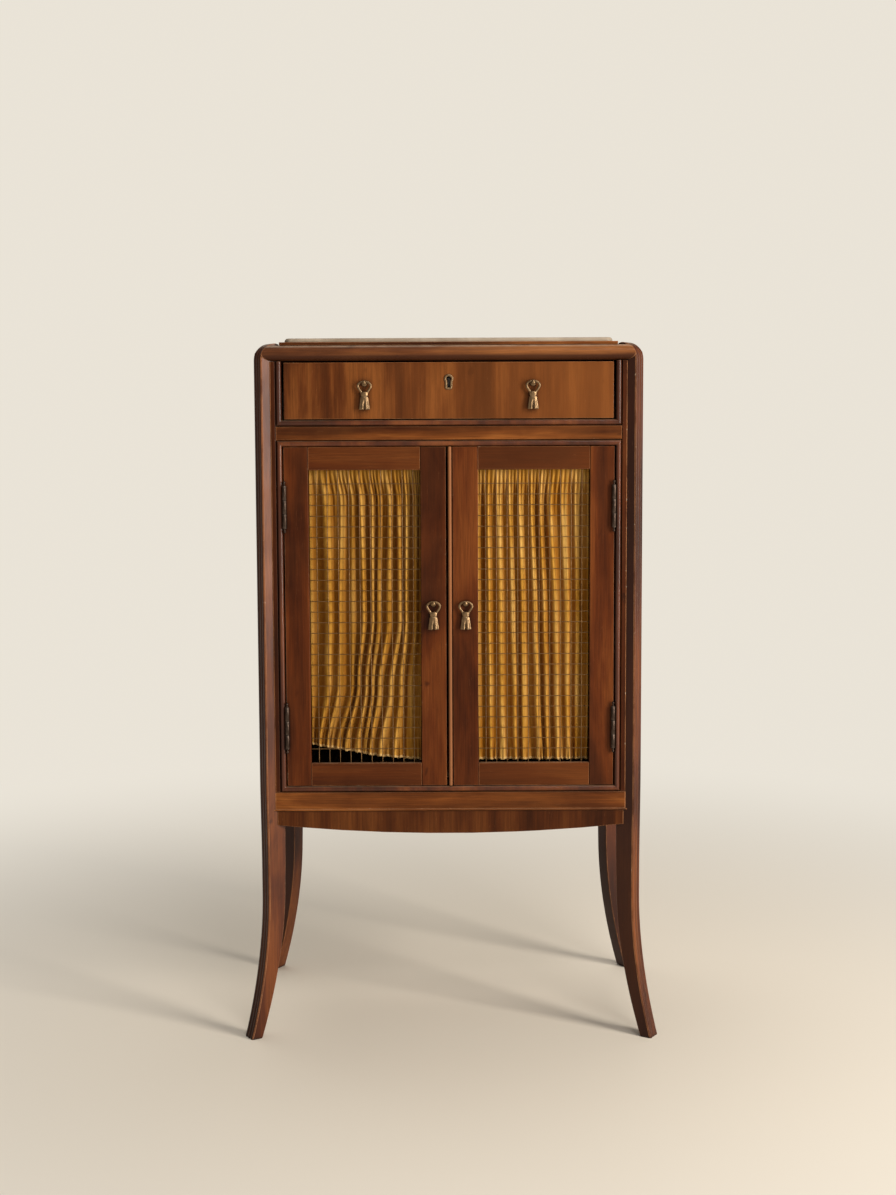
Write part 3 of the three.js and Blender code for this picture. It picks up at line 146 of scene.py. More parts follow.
class Graph:
    """Adds and links the nodes of one node tree."""

    def __init__(self, tree: bpy.types.NodeTree) -> None:
        """Starts on a material's or a group's tree."""
        self.tree = tree

    def add(self, kind: str, inputs: dict[Any, Any] | None = None, **options: Any) -> bpy.types.Node:
        """Adds one node.

        Args:
            kind: the node's type name.
            inputs: a value or an output socket for each input, by name or number.
            options: the node's own settings.

        Returns:
            The new node.
        """
        node = self.tree.nodes.new(kind)
        for key, value in options.items():
            setattr(node, key, value)
        for key, value in (inputs or {}).items():
            if isinstance(value, Socket):
                self.link(value, node.inputs[key])
            else:
                node.inputs[key].default_value = value
        return node

    def link(self, value: Socket, socket: Socket) -> None:
        """Leads an output into an input."""
        self.tree.links.new(value, socket)

    def math(self, operation: str, *values: Any, clamp: bool = False) -> Socket:
        """Adds a Math node on up to three values and returns its output."""
        node = self.add("ShaderNodeMath", dict(enumerate(values)), operation=operation, use_clamp=clamp)
        return node.outputs[0]

    def times(self, first: Any, second: Any) -> Socket:
        """Multiplies two values."""
        return self.math("MULTIPLY", first, second)

    def line(self, value: Any, slope: float, start: Any) -> Socket:
        """Multiplies a value by a slope and adds a start."""
        return self.math("MULTIPLY_ADD", value, slope, start)

    def vector(self, operation: str, first: Any, second: Any = None) -> Any:
        """Adds a Vector Math node on one or two vectors and returns its outputs."""
        inputs = {0: first} if second is None else {0: first, 1: second}
        return self.add("ShaderNodeVectorMath", inputs, operation=operation).outputs

    def coords(self, kind: str = "Object") -> Socket:
        """Returns the place on the piece, or another of its own coordinates."""
        return self.add("ShaderNodeTexCoord").outputs[kind]

    def parts(self, vector: Any) -> Any:
        """Splits a vector into its X, Y and Z."""
        return self.add("ShaderNodeSeparateXYZ", {0: vector}).outputs

    def mix(self, factor: Any, first: Any, second: Any, blend: str = "MIX") -> Socket:
        """Mixes two colours.

        Args:
            factor: how much of the second colour is taken.
            first: the colour at factor 0.
            second: the colour at factor 1.
            blend: the way of mixing.

        Returns:
            The mixed colour.
        """
        inputs = {0: factor, 6: rgba(first), 7: rgba(second)}
        return self.add("ShaderNodeMix", inputs, data_type="RGBA", blend_type=blend).outputs[2]

    def tint(self, color: Any, mask: Any, weight: float, other: Color) -> Socket:
        """Lets another colour into a colour where a mask says so.

        Args:
            color: the colour so far.
            mask: where the other colour goes, from 0 to 1.
            weight: how much of it goes there.
            other: the other colour.

        Returns:
            The tinted colour.
        """
        return self.mix(self.times(mask, weight), color, other)

    def noise(self, vector: Any, look: Noise) -> Socket:
        """Adds a noise texture.

        Args:
            vector: where it is read.
            look: how fine and rough it is.

        Returns:
            The noise, from 0 to 1.
        """
        if look.stretch:
            vector = self.vector("MULTIPLY", vector, look.stretch)[0]
        inputs = {"Vector": vector, "Scale": look.scale, "Detail": look.detail, "Roughness": look.rough,
                  "Distortion": look.warp}
        return self.add("ShaderNodeTexNoise", inputs).outputs[0]

    def span(self, value: Any, ends: Span, to: Span = (0.0, 1.0)) -> Socket:
        """Maps a range of values to another, smoothly and within its ends.

        Args:
            value: what is mapped.
            ends: the values that give the results in to.
            to: the results at these ends.

        Returns:
            The mapped value.
        """
        inputs = dict(enumerate((value, *ends, *to)))
        return self.add("ShaderNodeMapRange", inputs, interpolation_type="SMOOTHSTEP").outputs[0]

    def ramp(self, value: Any, stops: Sequence[tuple[float, Color]]) -> Socket:
        """Turns a value into a colour.

        Args:
            value: where in the stops it is read.
            stops: places from 0 to 1 with their colours.

        Returns:
            The colour.
        """
        node = self.add("ShaderNodeValToRGB", {0: value})
        elements = node.color_ramp.elements
        while len(elements) < len(stops):
            elements.new(0.5)
        for element, (place, color) in zip(elements, stops):
            element.position = place
            element.color = rgba(color)
        return node.outputs[0]

    def hollow(self, reach: Any, samples: int) -> Socket:
        """Reads how open a place is: 1 in the open, less in a corner within its reach."""
        return self.add("ShaderNodeAmbientOcclusion", {"Distance": reach}, samples=samples).outputs["AO"]


def rgba(color: Any) -> Any:
    """Gives a three-part colour its alpha, and leaves a socket as it is."""
    return (*color, 1.0) if isinstance(color, tuple) and len(color) == 3 else color


class Effects:
    """Shader node groups that several finishes share, each built once."""

    built: ClassVar[dict[str, bpy.types.NodeTree]] = {}

    CLOUDS = Noise(13.0, 4.0, warp=0.6, stretch=(1.0, 1.0, 0.22))
    BANDS = Noise(38.0, warp=0.3, stretch=(1.0, 1.0, 0.05))
    STREAKS = Noise(420.0, 5.0, 0.62, stretch=(1.0, 1.0, 0.035))
    PORES = Noise(1500.0, 2.0, 0.5, stretch=(1.0, 1.0, 0.04))
    KNOTS = Noise(48.0, 2.0, 0.4, 0.2, (1.0, 1.0, 0.5))
    FIGURE_SPAN = (0.26, 0.78)
    STREAK_SPAN = (0.3, 0.7)
    PORE_SPAN = (0.6, 0.72)
    KNOT_SPAN = (0.69, 0.77)

    RUBBING = Noise(30.0, 4.0, 0.65)
    RUBBING_SPANS = ((0.3, 0.6), (0.25, 1.0))
    TURN_SPAN = (0.01, 0.14)
    OUTER_REACH = 4 * MM
    OUTER_SPAN = (0.5, 0.85)

    DIRT = Noise(60.0, 4.0, 0.6)
    DIRT_LINE = (0.6, 0.6)
    CLOSED_SPAN = (0.95, 0.3)

    SETTLING = Noise(45.0, 4.0, 0.6)
    SETTLING_SPANS = ((0.25, 0.65), (0.35, 1.0))
    UPWARD_SPAN = (0.6, 0.95)
    FACING_SPAN = (0.0, 0.55)

    SMUDGES = Noise(9.0, 4.0, 0.6, 0.4)
    SCRATCHES = Noise(800.0, 1.0, 0.5, 1.5, (1.0, 1.0, 0.06))
    SMUDGE_SPAN = (0.3, 0.75)
    SCRATCH_SPAN = (0.71, 0.78)

    SLUBS = Noise(700.0, rough=0.6, stretch=(1.0, 0.05, 1.0))
    SLUB_SPAN = (0.3, 0.75)
    CROSSING = 0.5

    @classmethod
    def group(cls, name: str, inputs: dict[str, float | None],
              fill: Callable[[Graph, Any], dict[str, Socket]]) -> bpy.types.NodeTree:
        """Returns the named group, and builds it on its first use.

        Args:
            name: the group's name.
            inputs: each input's default: a number, or None for a vector.
            fill: adds the nodes after the inputs and returns each output's value by name.

        Returns:
            The group's tree.
        """
        if name not in cls.built:
            tree = bpy.data.node_groups.new(name, "ShaderNodeTree")
            for key, default in inputs.items():
                kind = "NodeSocketVector" if default is None else "NodeSocketFloat"
                socket = tree.interface.new_socket(name=key, in_out="INPUT", socket_type=kind)
                if default is not None:
                    socket.default_value = default
            graph = Graph(tree)
            values = fill(graph, graph.add("NodeGroupInput").outputs)
            for key in values:
                tree.interface.new_socket(name=key, in_out="OUTPUT", socket_type="NodeSocketFloat")
            graph.add("NodeGroupOutput", values)
            cls.built[name] = tree
        return cls.built[name]

    @staticmethod
    def place(graph: Graph, tree: bpy.types.NodeTree, inputs: dict[str, Any]) -> Any:
        """Puts a group into a material, feeds its inputs and returns its outputs."""
        return graph.add("ShaderNodeGroup", inputs, node_tree=tree).outputs

    @classmethod
    def grain(cls) -> bpy.types.NodeTree:
        """The streaks, broad figure, pores and knots of wood whose grain runs along Z."""

        def fill(graph: Graph, source: Any) -> dict[str, Socket]:
            """Adds the grain's noises."""
            place = source["Vector"]
            bands = graph.math("SUBTRACT", graph.noise(place, cls.BANDS), 0.5)
            ribbon = graph.times(bands, source["Ribbon"])
            figure = graph.math("ADD", graph.noise(place, cls.CLOUDS), ribbon)
            return {
                "Figure": graph.span(figure, cls.FIGURE_SPAN),
                "Streaks": graph.span(graph.noise(place, cls.STREAKS), cls.STREAK_SPAN),
                "Pores": graph.span(graph.noise(place, cls.PORES), cls.PORE_SPAN),
                "Knots": graph.span(graph.noise(place, cls.KNOTS), cls.KNOT_SPAN),
            }

        return cls.group("wood_grain", {"Vector": None, "Ribbon": 0.6}, fill)

    @classmethod
    def edge_wear(cls) -> bpy.types.NodeTree:
        """Where an edge stands out and is rubbed, and is painted lighter as a highlight, whole and broken
        up by noise.
        """

        def fill(graph: Graph, source: Any) -> dict[str, Socket]:
            """Compares the true normal with one rounded over a radius."""
            soft = graph.add("ShaderNodeBevel", {"Radius": source["Radius"]}, samples=6).outputs[0]
            sharp = graph.add("ShaderNodeNewGeometry").outputs["True Normal"]
            turn = graph.math("SUBTRACT", 1.0, graph.vector("DOT_PRODUCT", soft, sharp)["Value"])
            outer = graph.span(graph.hollow(cls.OUTER_REACH, 4), cls.OUTER_SPAN)
            patches = graph.span(graph.noise(source["Vector"], cls.RUBBING), *cls.RUBBING_SPANS)
            rubbed = graph.times(graph.span(turn, cls.TURN_SPAN), outer)
            return {"Mask": graph.times(rubbed, patches), "Edge": rubbed}

        return cls.group("edge_wear", {"Vector": None, "Radius": 2 * MM}, fill)

    @classmethod
    def grime(cls) -> bpy.types.NodeTree:
        """Where dirt and old polish have gathered in corners and grooves, and where shade is painted in
        them.
        """

        def fill(graph: Graph, source: Any) -> dict[str, Socket]:
            """Reads how closed in a place is."""
            closed = graph.span(graph.hollow(source["Reach"], 6), cls.CLOSED_SPAN)
            uneven = graph.line(graph.noise(source["Vector"], cls.DIRT), *cls.DIRT_LINE)
            return {"Mask": graph.math("MULTIPLY", closed, uneven, clamp=True)}

        return cls.group("grime", {"Vector": None, "Reach": 12 * MM}, fill)

    @classmethod
    def dust(cls) -> bpy.types.NodeTree:
        """Where dust has settled and polish has gone on faces that look up, which are also painted lighter
        as light from above.
        """

        def fill(graph: Graph, source: Any) -> dict[str, Socket]:
            """Reads how far a face looks up."""
            upward = graph.parts(graph.coords("Normal"))["Z"]
            uneven = graph.span(graph.noise(source["Vector"], cls.SETTLING), *cls.SETTLING_SPANS)
            return {"Mask": graph.times(graph.span(upward, cls.UPWARD_SPAN), uneven)}

        return cls.group("settled_dust", {"Vector": None}, fill)

    @classmethod
    def kept_polish(cls) -> bpy.types.NodeTree:
        """Where a face looks a given way, and is painted darker there as shade."""

        def fill(graph: Graph, source: Any) -> dict[str, Socket]:
            """Reads how far a face looks along the direction."""
            facing = graph.vector("DOT_PRODUCT", graph.coords("Normal"), source["Direction"])["Value"]
            return {"Mask": graph.span(facing, cls.FACING_SPAN)}

        return cls.group("kept_polish", {"Direction": None}, fill)

    @classmethod
    def handling(cls) -> bpy.types.NodeTree:
        """Smudges in the polish and fine scratches over them."""

        def fill(graph: Graph, source: Any) -> dict[str, Socket]:
            """Adds slow smudges and thin lines."""
            smudges = graph.noise(source["Vector"], cls.SMUDGES)
            scratches = graph.noise(source["Vector"], cls.SCRATCHES)
            return {
                "Smudge": graph.span(smudges, cls.SMUDGE_SPAN),
                "Scratch": graph.span(scratches, cls.SCRATCH_SPAN),
            }

        return cls.group("handling", {"Vector": None}, fill)

    @classmethod
    def weave(cls) -> bpy.types.NodeTree:
        """A plain weave: threads across and down, with thicker slubs."""

        def fill(graph: Graph, source: Any) -> dict[str, Socket]:
            """Crosses two sets of waves, one thread apart."""
            parts = graph.parts(source["Vector"])
            turns = graph.math("DIVIDE", math.tau, source["Thread"])
            warp = graph.math("SINE", graph.times(parts["X"], turns))
            weft = graph.math("SINE", graph.times(parts["Y"], turns))
            slubs = graph.noise(source["Vector"], cls.SLUBS)
            height = graph.line(graph.times(warp, weft), cls.CROSSING, slubs)
            return {"Height": height, "Slub": graph.span(slubs, cls.SLUB_SPAN)}

        return cls.group("plain_weave", {"Vector": None, "Thread": 0.7 * MM}, fill)


# ---- Finishes ---------------------------------------------------------------


@dataclass(frozen=True)
class Finish:
    """A surface finish that makes its own material once."""

    name: str
    made: ClassVar[dict[str, bpy.types.Material]] = {}
    spread: ClassVar[Color] = (3.1, 5.3, 7.7)

    def material(self) -> bpy.types.Material:
        """Returns the finish's material, and builds it on its first use."""
        if self.name not in self.made:
            material = bpy.data.materials.new(self.name)
            material.use_nodes = True
            self.paint(Graph(material.node_tree), material.node_tree.nodes["Principled BSDF"])
            self.made[self.name] = material
        return self.made[self.name]

    def paint(self, graph: Graph, shader: bpy.types.Node) -> None:
        """Adds the finish's nodes before its shader."""
        raise NotImplementedError

    def place(self, graph: Graph) -> Socket:
        """Returns the place on the piece, shifted from one piece to the next."""
        chance = graph.add("ShaderNodeObjectInfo").outputs["Random"]
        even = graph.add("ShaderNodeCombineXYZ", {0: chance, 1: chance, 2: chance}).outputs[0]
        shift = graph.vector("MULTIPLY", even, self.spread)[0]
        return graph.vector("ADD", graph.coords(), shift)[0]

    @staticmethod
    def uniform(shader: bpy.types.Node, values: dict[str, float]) -> None:
        """Sets values that are the same all over, on the shader's own sockets."""
        for key, value in values.items():
            shader.inputs[key].default_value = value

    @staticmethod
    def bump(graph: Graph, shader: bpy.types.Node, height: Any, strength: float, depth: float) -> None:
        """Feeds a height to the shader's normal.

        Args:
            graph: the material's graph.
            shader: the shader that gets the normal.
            height: the height, from 0 to 1.
            strength: how much of it counts.
            depth: what a height of 1 is in metres.
        """
        node = graph.add("ShaderNodeBump", {"Strength": strength, "Distance": depth, "Height": height})
        graph.link(node.outputs[0], shader.inputs["Normal"])


@dataclass(frozen=True)
class PolishedWood(Finish):
    """Old mahogany under rubbed shellac polish."""

    grain: Grain = Grain.UPRIGHT
    dark: Color = (0.026, 0.0055, 0.0015)
    middle: Color = (0.082, 0.0185, 0.004)
    light: Color = (0.17, 0.047, 0.0095)
    # light colour of scratches and rubbed wear, also a painted highlight on edges and on a bead's crown
    rubbed: Color = (0.4, 0.17, 0.07)
    chipped: Color = (0.55, 0.4, 0.27)
    # pale colour of dust, also painted light on faces that look up
    dusty: Color = (0.42, 0.3, 0.2)
    # dark colour of dirt and of painted shade in corners and grooves
    dirt: Color = (0.01, 0.004, 0.002)
    ribbon: float = 0.35
    # how much lighter the piece is painted towards +X, the window side: painted light
    sunned: float = 0.0
    sun_span: Span = (-0.25, 0.3)
    wear: float = 0.75
    grime: float = 0.9
    reach: float = 12 * MM
    dust: float = 0.35
    # how much darker faces turned the given way are painted, as shade
    kept: float = 0.0
    kept_side: tuple[float, float, float] = (-1.0, 0.0, 0.0)
    # the depth of a proud bead's crown, which gets a painted highlight
    crown: float | None = None
    crown_span: Span = (2.2 * MM, 0.4 * MM)
    crown_wear: float = 0.55
    streak_line: Span = (0.42, 0.78)
    pores: float = 0.3
    knots: float = 0.75
    smudges: float = 0.15
    scratches: float = 0.12
    chips: Noise = Noise(170.0, 1.0, 0.5)
    chip_span: Span = (0.73, 0.76)
    roughness: float = 0.4
    smudge_dulling: float = 0.12
    scratch_dulling: float = 0.12
    wear_dulling: float = 0.14
    gloss: float = 0.08
    polish: float = 0.03
    polish_roughness: float = 0.16
    relief: Span = (0.4, -0.6)
    relief_depth: Span = (0.35, 0.12 * MM)

    def paint(self, graph: Graph, shader: bpy.types.Node) -> None:
        """Lays grain, wear with painted highlights at the edges, dirt with painted shade in the corners,
        painted light towards the window and on faces that look up, painted shade on faces turned away, and
        polish over them.
        """
        coords = self.place(graph)
        shifted = graph.parts(coords)
        turned = {i: shifted[axis] for i, axis in enumerate(self.grain.value)}
        along = graph.add("ShaderNodeCombineXYZ", turned).outputs[0]
        parts = graph.parts(graph.coords())
        grain = Effects.place(graph, Effects.grain(), {"Vector": along, "Ribbon": self.ribbon})
        wear = Effects.place(graph, Effects.edge_wear(), {"Vector": coords})
        grime = Effects.place(graph, Effects.grime(), {"Vector": coords, "Reach": self.reach})
        handling = Effects.place(graph, Effects.handling(), {"Vector": along})
        kept = Effects.place(graph, Effects.kept_polish(), {"Direction": self.kept_side})
        dust = Effects.place(graph, Effects.dust(), {"Vector": coords})

        wood = graph.ramp(grain["Figure"], [(0.0, self.dark), (0.5, self.middle), (1.0, self.light)])
        shade = graph.line(grain["Streaks"], *self.streak_line)
        gray = graph.add("ShaderNodeCombineColor", {0: shade, 1: shade, 2: shade}).outputs[0]
        wood = graph.mix(1.0, wood, gray, "MULTIPLY")
        wood = graph.tint(wood, grain["Pores"], self.pores, self.dark)
        wood = graph.tint(wood, grain["Knots"], self.knots, self.dark)
        # painted light: lighter towards +X, where the window light falls
        wood = graph.tint(wood, graph.span(parts["X"], self.sun_span), self.sunned, self.light)
        # painted shade on faces turned away from the light
        wood = graph.tint(wood, kept["Mask"], self.kept, self.dark)
        wood = graph.tint(wood, handling["Smudge"], self.smudges * (1 - self.kept), self.light)
        wood = graph.tint(wood, handling["Scratch"], self.scratches, self.rubbed)
        # edges lighter: rubbed wear, and a painted highlight along them
        wood = graph.tint(wood, wear["Mask"], self.wear, self.rubbed)
        # painted highlight along the crown of a proud bead
        if self.crown is not None:
            crown_highlight_mask = graph.span(parts["Y"], tuple(self.crown + end for end in self.crown_span))
            wood = graph.tint(wood, crown_highlight_mask, self.crown_wear, self.rubbed)
        chips = graph.times(graph.span(graph.noise(coords, self.chips), self.chip_span), wear["Edge"])
        wood = graph.tint(wood, chips, self.wear, self.chipped)
        # faces that look up get dust and painted light from above
        wood = graph.tint(wood, dust["Mask"], self.dust, self.dusty)
        # dirt and painted shade darken the corners and grooves
        wood = graph.tint(wood, grime["Mask"], self.grime, self.dirt)
        graph.link(wood, shader.inputs["Base Color"])

        dull = graph.line(handling["Smudge"], self.smudge_dulling, self.roughness)
        dull = graph.line(handling["Scratch"], self.scratch_dulling, dull)
        dull = graph.line(wear["Mask"], self.wear_dulling, dull)
        graph.link(dull, shader.inputs["Roughness"])
        self.uniform(shader, {"Specular IOR Level": self.gloss, "Coat Weight": self.polish,
                              "Coat Roughness": self.polish_roughness})
        streaks, pores = self.relief
        height = graph.line(grain["Pores"], pores, graph.times(grain["Streaks"], streaks))
        self.bump(graph, shader, height, *self.relief_depth)


@dataclass(frozen=True)
class PlainWood(PolishedWood):
    """Unpolished wood of the inner boards, gone brown with age."""

    dark: Color = (0.16, 0.085, 0.04)
    middle: Color = (0.27, 0.16, 0.08)
    light: Color = (0.38, 0.25, 0.135)
    rubbed: Color = (0.45, 0.32, 0.19)
    wear: float = 0.3
    grime: float = 0.6
    roughness: float = 0.6
    polish: float = 0.0


@dataclass(frozen=True)
class Marble(Finish):
    """Honed grey-cream marble with soft veins."""

    light: Color = (0.44, 0.355, 0.265)
    cloud: Color = (0.27, 0.205, 0.145)
    vein: Color = (0.1, 0.07, 0.045)
    dirt: Color = (0.16, 0.12, 0.08)
    grime: float = 0.6
    clouds: Noise = Noise(11.0, 5.0, 0.6, 0.8)
    cloud_span: Span = (0.32, 0.7)
    breaks: Noise = Noise(7.0, rough=0.6)
    break_span: Span = (0.42, 0.6)
    veins: tuple[Noise, ...] = tuple(Noise(scale, 4.0, 0.5, 0.9, (0.7, 1.9, 0.7)) for scale in (2.6, 7.0))
    vein_widths: Span = (0.014, 0.02)
    vein_depths: Span = (0.75, 0.4)
    roughness: float = 0.42
    cloud_dulling: float = 0.14
    gloss: float = 0.25
    relief_depth: Span = (0.1, 0.2 * MM)

    def paint(self, graph: Graph, shader: bpy.types.Node) -> None:
        """Lays clouds, two sizes of vein, and dirt with painted shade along the edges."""
        coords = self.place(graph)
        clouds = graph.span(graph.noise(coords, self.clouds), self.cloud_span)
        stone = graph.mix(clouds, self.light, self.cloud)
        broken = graph.span(graph.noise(coords, self.breaks), self.break_span)
        for look, width, depth in zip(self.veins, self.vein_widths, self.vein_depths):
            ridge = graph.math("ABSOLUTE", graph.math("SUBTRACT", graph.noise(coords, look), 0.5))
            line = graph.span(ridge, (0.0, width), (depth, 0.0))
            stone = graph.mix(graph.times(line, broken), stone, self.vein)
        # dirt and painted shade darken the stone along its edges and in corners
        grime = Effects.place(graph, Effects.grime(), {"Vector": coords})
        stone = graph.tint(stone, grime["Mask"], self.grime, self.dirt)
        graph.link(stone, shader.inputs["Base Color"])
        graph.link(graph.line(clouds, self.cloud_dulling, self.roughness), shader.inputs["Roughness"])
        self.uniform(shader, {"Specular IOR Level": self.gloss})
        self.bump(graph, shader, clouds, *self.relief_depth)


@dataclass(frozen=True)
class AgedMetal(Finish):
    """Cast or drawn metal, dark in its hollows and bright where it is touched."""

    base: Color = (0.27, 0.17, 0.088)
    bright: Color = (0.54, 0.38, 0.22)
    tarnish: Color = (0.05, 0.03, 0.015)
    blotches: Noise = Noise(240.0, 4.0, 0.6)
    blotch_span: Span = (0.35, 0.75)
    blotch_depth: float = 0.4
    touch: float = 0.5
    touch_radius: float = 0.7 * MM
    dirt: float = 0.95
    dirt_reach: float = 3 * MM
    dirt_hiding: float = 0.7
    roughness: float = 0.4
    blotch_dulling: float = 0.16
    dirt_dulling: float = 0.3
    relief_depth: Span = (0.6, 0.25 * MM)

    def paint(self, graph: Graph, shader: bpy.types.Node) -> None:
        """Lays tarnish, dirt and rubbed edges on bare metal."""
        coords = self.place(graph)
        wear = Effects.place(graph, Effects.edge_wear(), {"Vector": coords, "Radius": self.touch_radius})
        grime = Effects.place(graph, Effects.grime(), {"Vector": coords, "Reach": self.dirt_reach})
        blotch = graph.span(graph.noise(coords, self.blotches), self.blotch_span)
        dirty = graph.times(grime["Mask"], self.dirt)
        metal = graph.mix(graph.times(blotch, self.blotch_depth), self.base, self.tarnish)
        metal = graph.tint(metal, wear["Edge"], self.touch, self.bright)
        metal = graph.mix(dirty, metal, self.tarnish)
        graph.link(metal, shader.inputs["Base Color"])
        bare = graph.math("SUBTRACT", 1.0, graph.times(dirty, self.dirt_hiding))
        graph.link(bare, shader.inputs["Metallic"])
        dull = graph.line(blotch, self.blotch_dulling, self.roughness)
        graph.link(graph.line(dirty, self.dirt_dulling, dull), shader.inputs["Roughness"])
        self.bump(graph, shader, blotch, *self.relief_depth)


@dataclass(frozen=True)
class CurtainCloth(Finish):
    """Matt ochre-gold cotton, faded along its folds."""

    deep: Color = (0.34, 0.152, 0.015)
    middle: Color = (0.45, 0.222, 0.034)
    faded: Color = (0.55, 0.31, 0.075)
    shaded: Color = (0.17, 0.053, 0.0015)
    hemmed: Color = (0.72, 0.5, 0.22)
    fading: Noise = Noise(26.0, 4.0, warp=0.3, stretch=(1.0, 0.25, 1.0))
    fading_span: Span = (0.3, 0.7)
    middle_stop: float = 0.45
    thread: float = 0.8 * MM
    slubs: float = 0.3
    grime: float = 0.5
    # how much painted shade darkens the folds' valleys, the deepest parts of the cloth
    valleys: float = 0.75
    valley_span: Span = (-158.0 * MM, -150.5 * MM)
    hem_span: Span = (4.5 * MM, 2.7 * MM)
    hem_paling: float = 0.5
    roughness: float = 0.85
    gloss: float = 0.1
    sheen: float = 0.03
    sheen_roughness: float = 0.5
    relief_depth: Span = (0.5, 0.2 * MM)

    def paint(self, graph: Graph, shader: bpy.types.Node) -> None:
        """Lays the weave, fading, painted shade in corners and in the folds' valleys, and the pale hem on
        the cloth.
        """
        cloth = graph.add("ShaderNodeUVMap").outputs[0]
        coords = graph.coords()
        weave = Effects.place(graph, Effects.weave(), {"Vector": cloth, "Thread": self.thread})
        grime = Effects.place(graph, Effects.grime(), {"Vector": coords})
        fading = graph.span(graph.noise(cloth, self.fading), self.fading_span)
        color = graph.ramp(fading, [(0.0, self.deep), (self.middle_stop, self.middle), (1.0, self.faded)])
        color = graph.tint(color, weave["Slub"], self.slubs, self.deep)
        # painted shade darkens the cloth where it is closed in, in corners and deep folds
        color = graph.tint(color, grime["Mask"], self.grime, self.shaded)
        # painted shade in the folds' valleys, deeper back
        valley_shade_mask = graph.span(graph.parts(coords)["Y"], self.valley_span)
        color = graph.tint(color, valley_shade_mask, self.valleys, self.shaded)
        hem = graph.span(graph.parts(cloth)["Y"], self.hem_span, (0.0, self.hem_paling))
        color = graph.mix(hem, color, self.hemmed)
        graph.link(color, shader.inputs["Base Color"])
        self.uniform(shader, {"Roughness": self.roughness, "Specular IOR Level": self.gloss,
                              "Sheen Weight": self.sheen, "Sheen Roughness": self.sheen_roughness})
        self.bump(graph, shader, weave["Height"], *self.relief_depth)


@dataclass(frozen=True)
class PlainStage(Finish):
    """The pale, slightly uneven studio floor, which melts into its surroundings far out."""

    color: Color = (0.84, 0.77, 0.66)
    far: Color = (0.82, 0.77, 0.68)
    clouds: Noise = Noise(0.8, rough=0.5)
    cloud_shade: float = 0.94
    fade_span: Span = (0.2, 2.2)
    roughness: float = 0.8

    def paint(self, graph: Graph, shader: bpy.types.Node) -> None:
        """Lays faint clouds near the cabinet and an even glow far from it."""
        coords = graph.coords()
        darker = tuple(part * self.cloud_shade for part in self.color)
        pale = graph.mix(graph.noise(coords, self.clouds), self.color, darker)
        fade = graph.span(graph.vector("LENGTH", coords)["Value"], self.fade_span)
        graph.link(graph.mix(fade, pale, BLACK), shader.inputs["Base Color"])
        graph.link(graph.mix(fade, BLACK, self.far), shader.inputs["Emission Color"])
        self.uniform(shader, {"Emission Strength": 1.0, "Specular IOR Level": 0.0,
                              "Roughness": self.roughness})


MAHOGANY = PolishedWood("mahogany_upright", middle=(0.085, 0.0185, 0.0035))
# the right door's closing bead gets a painted highlight on its crown
CLOSING_WOOD = PolishedWood("mahogany_closing_stile", middle=(0.085, 0.0185, 0.0035), crown=-174.1 * MM)
MAHOGANY_ACROSS = PolishedWood(
    "mahogany_across", grain=Grain.ACROSS, dark=(0.038, 0.0085, 0.002), middle=(0.075, 0.0172, 0.0033),
    light=(0.125, 0.036, 0.0075), sunned=0.3,
)
# posts: faces turned away from the window, towards -X, get painted shade
POST_WOOD = PolishedWood("mahogany_posts", grime=1.0, reach=7 * MM, gloss=0.22, wear=0.95, kept=0.8)
# beads: their halves that face -X get painted shade
BEAD_WOOD = PolishedWood(
    "mahogany_beads", grime=0.8, reach=7 * MM, wear=0.6, polish=0.22, gloss=0.25, roughness=0.36, kept=0.6,
)
STRIP_WOOD = PolishedWood(
    "mahogany_strips", dark=(0.018, 0.004, 0.001), middle=(0.048, 0.0105, 0.0022),
    light=(0.1, 0.026, 0.0055), grime=1.0, wear=0.9,
)
MAHOGANY_DEEP = PolishedWood("mahogany_deep", grain=Grain.DEEP)
PALE_ACROSS = PolishedWood(
    "pale_mahogany_across", grain=Grain.ACROSS, dark=(0.034, 0.0075, 0.002), middle=(0.13, 0.036, 0.007),
    light=(0.31, 0.105, 0.022), ribbon=0.6, wear=0.95,
)
# nose rail: painted shade on its underside, and dust with painted light on its top
NOSE_WOOD = PolishedWood(
    "mahogany_nose", grain=Grain.ACROSS, dark=(0.034, 0.0085, 0.0025), middle=(0.12, 0.036, 0.009),
    light=(0.24, 0.085, 0.022), ribbon=0.5, dust=0.6, kept=0.85, kept_side=(-0.2, 0.0, -1.0), gloss=0.16,
)
VENEER = PolishedWood(
    "mahogany_veneer", dark=(0.03, 0.007, 0.0018), middle=(0.088, 0.023, 0.0048),
    light=(0.195, 0.062, 0.0135), ribbon=0.8, sunned=0.6,
)
APRON_VENEER = PolishedWood(
    "mahogany_apron", dark=(0.022, 0.0052, 0.0013), middle=(0.058, 0.0145, 0.003),
    light=(0.105, 0.031, 0.0065), ribbon=0.8, wear=0.9,
)
LINING_ACROSS = PlainWood("lining_across", grain=Grain.ACROSS)
LINING_DEEP = PlainWood("lining_deep", grain=Grain.DEEP)
MARBLE = Marble("honed_marble")
BRASS = AgedMetal("aged_brass")
BRONZE = AgedMetal(
    "dark_bronze", base=(0.065, 0.044, 0.033), bright=(0.24, 0.19, 0.155), tarnish=(0.018, 0.011, 0.008),
    roughness=0.42,
)
NET_WIRE = AgedMetal(
    "dull_net_wire", base=(0.2, 0.11, 0.045), bright=(0.4, 0.26, 0.13), tarnish=(0.07, 0.032, 0.012),
    dirt=0.7, roughness=0.42,
)
LOCK_IRON = AgedMetal(
    "blued_lock_iron", base=(0.25, 0.23, 0.21), bright=(0.4, 0.38, 0.36), tarnish=(0.06, 0.04, 0.03),
)
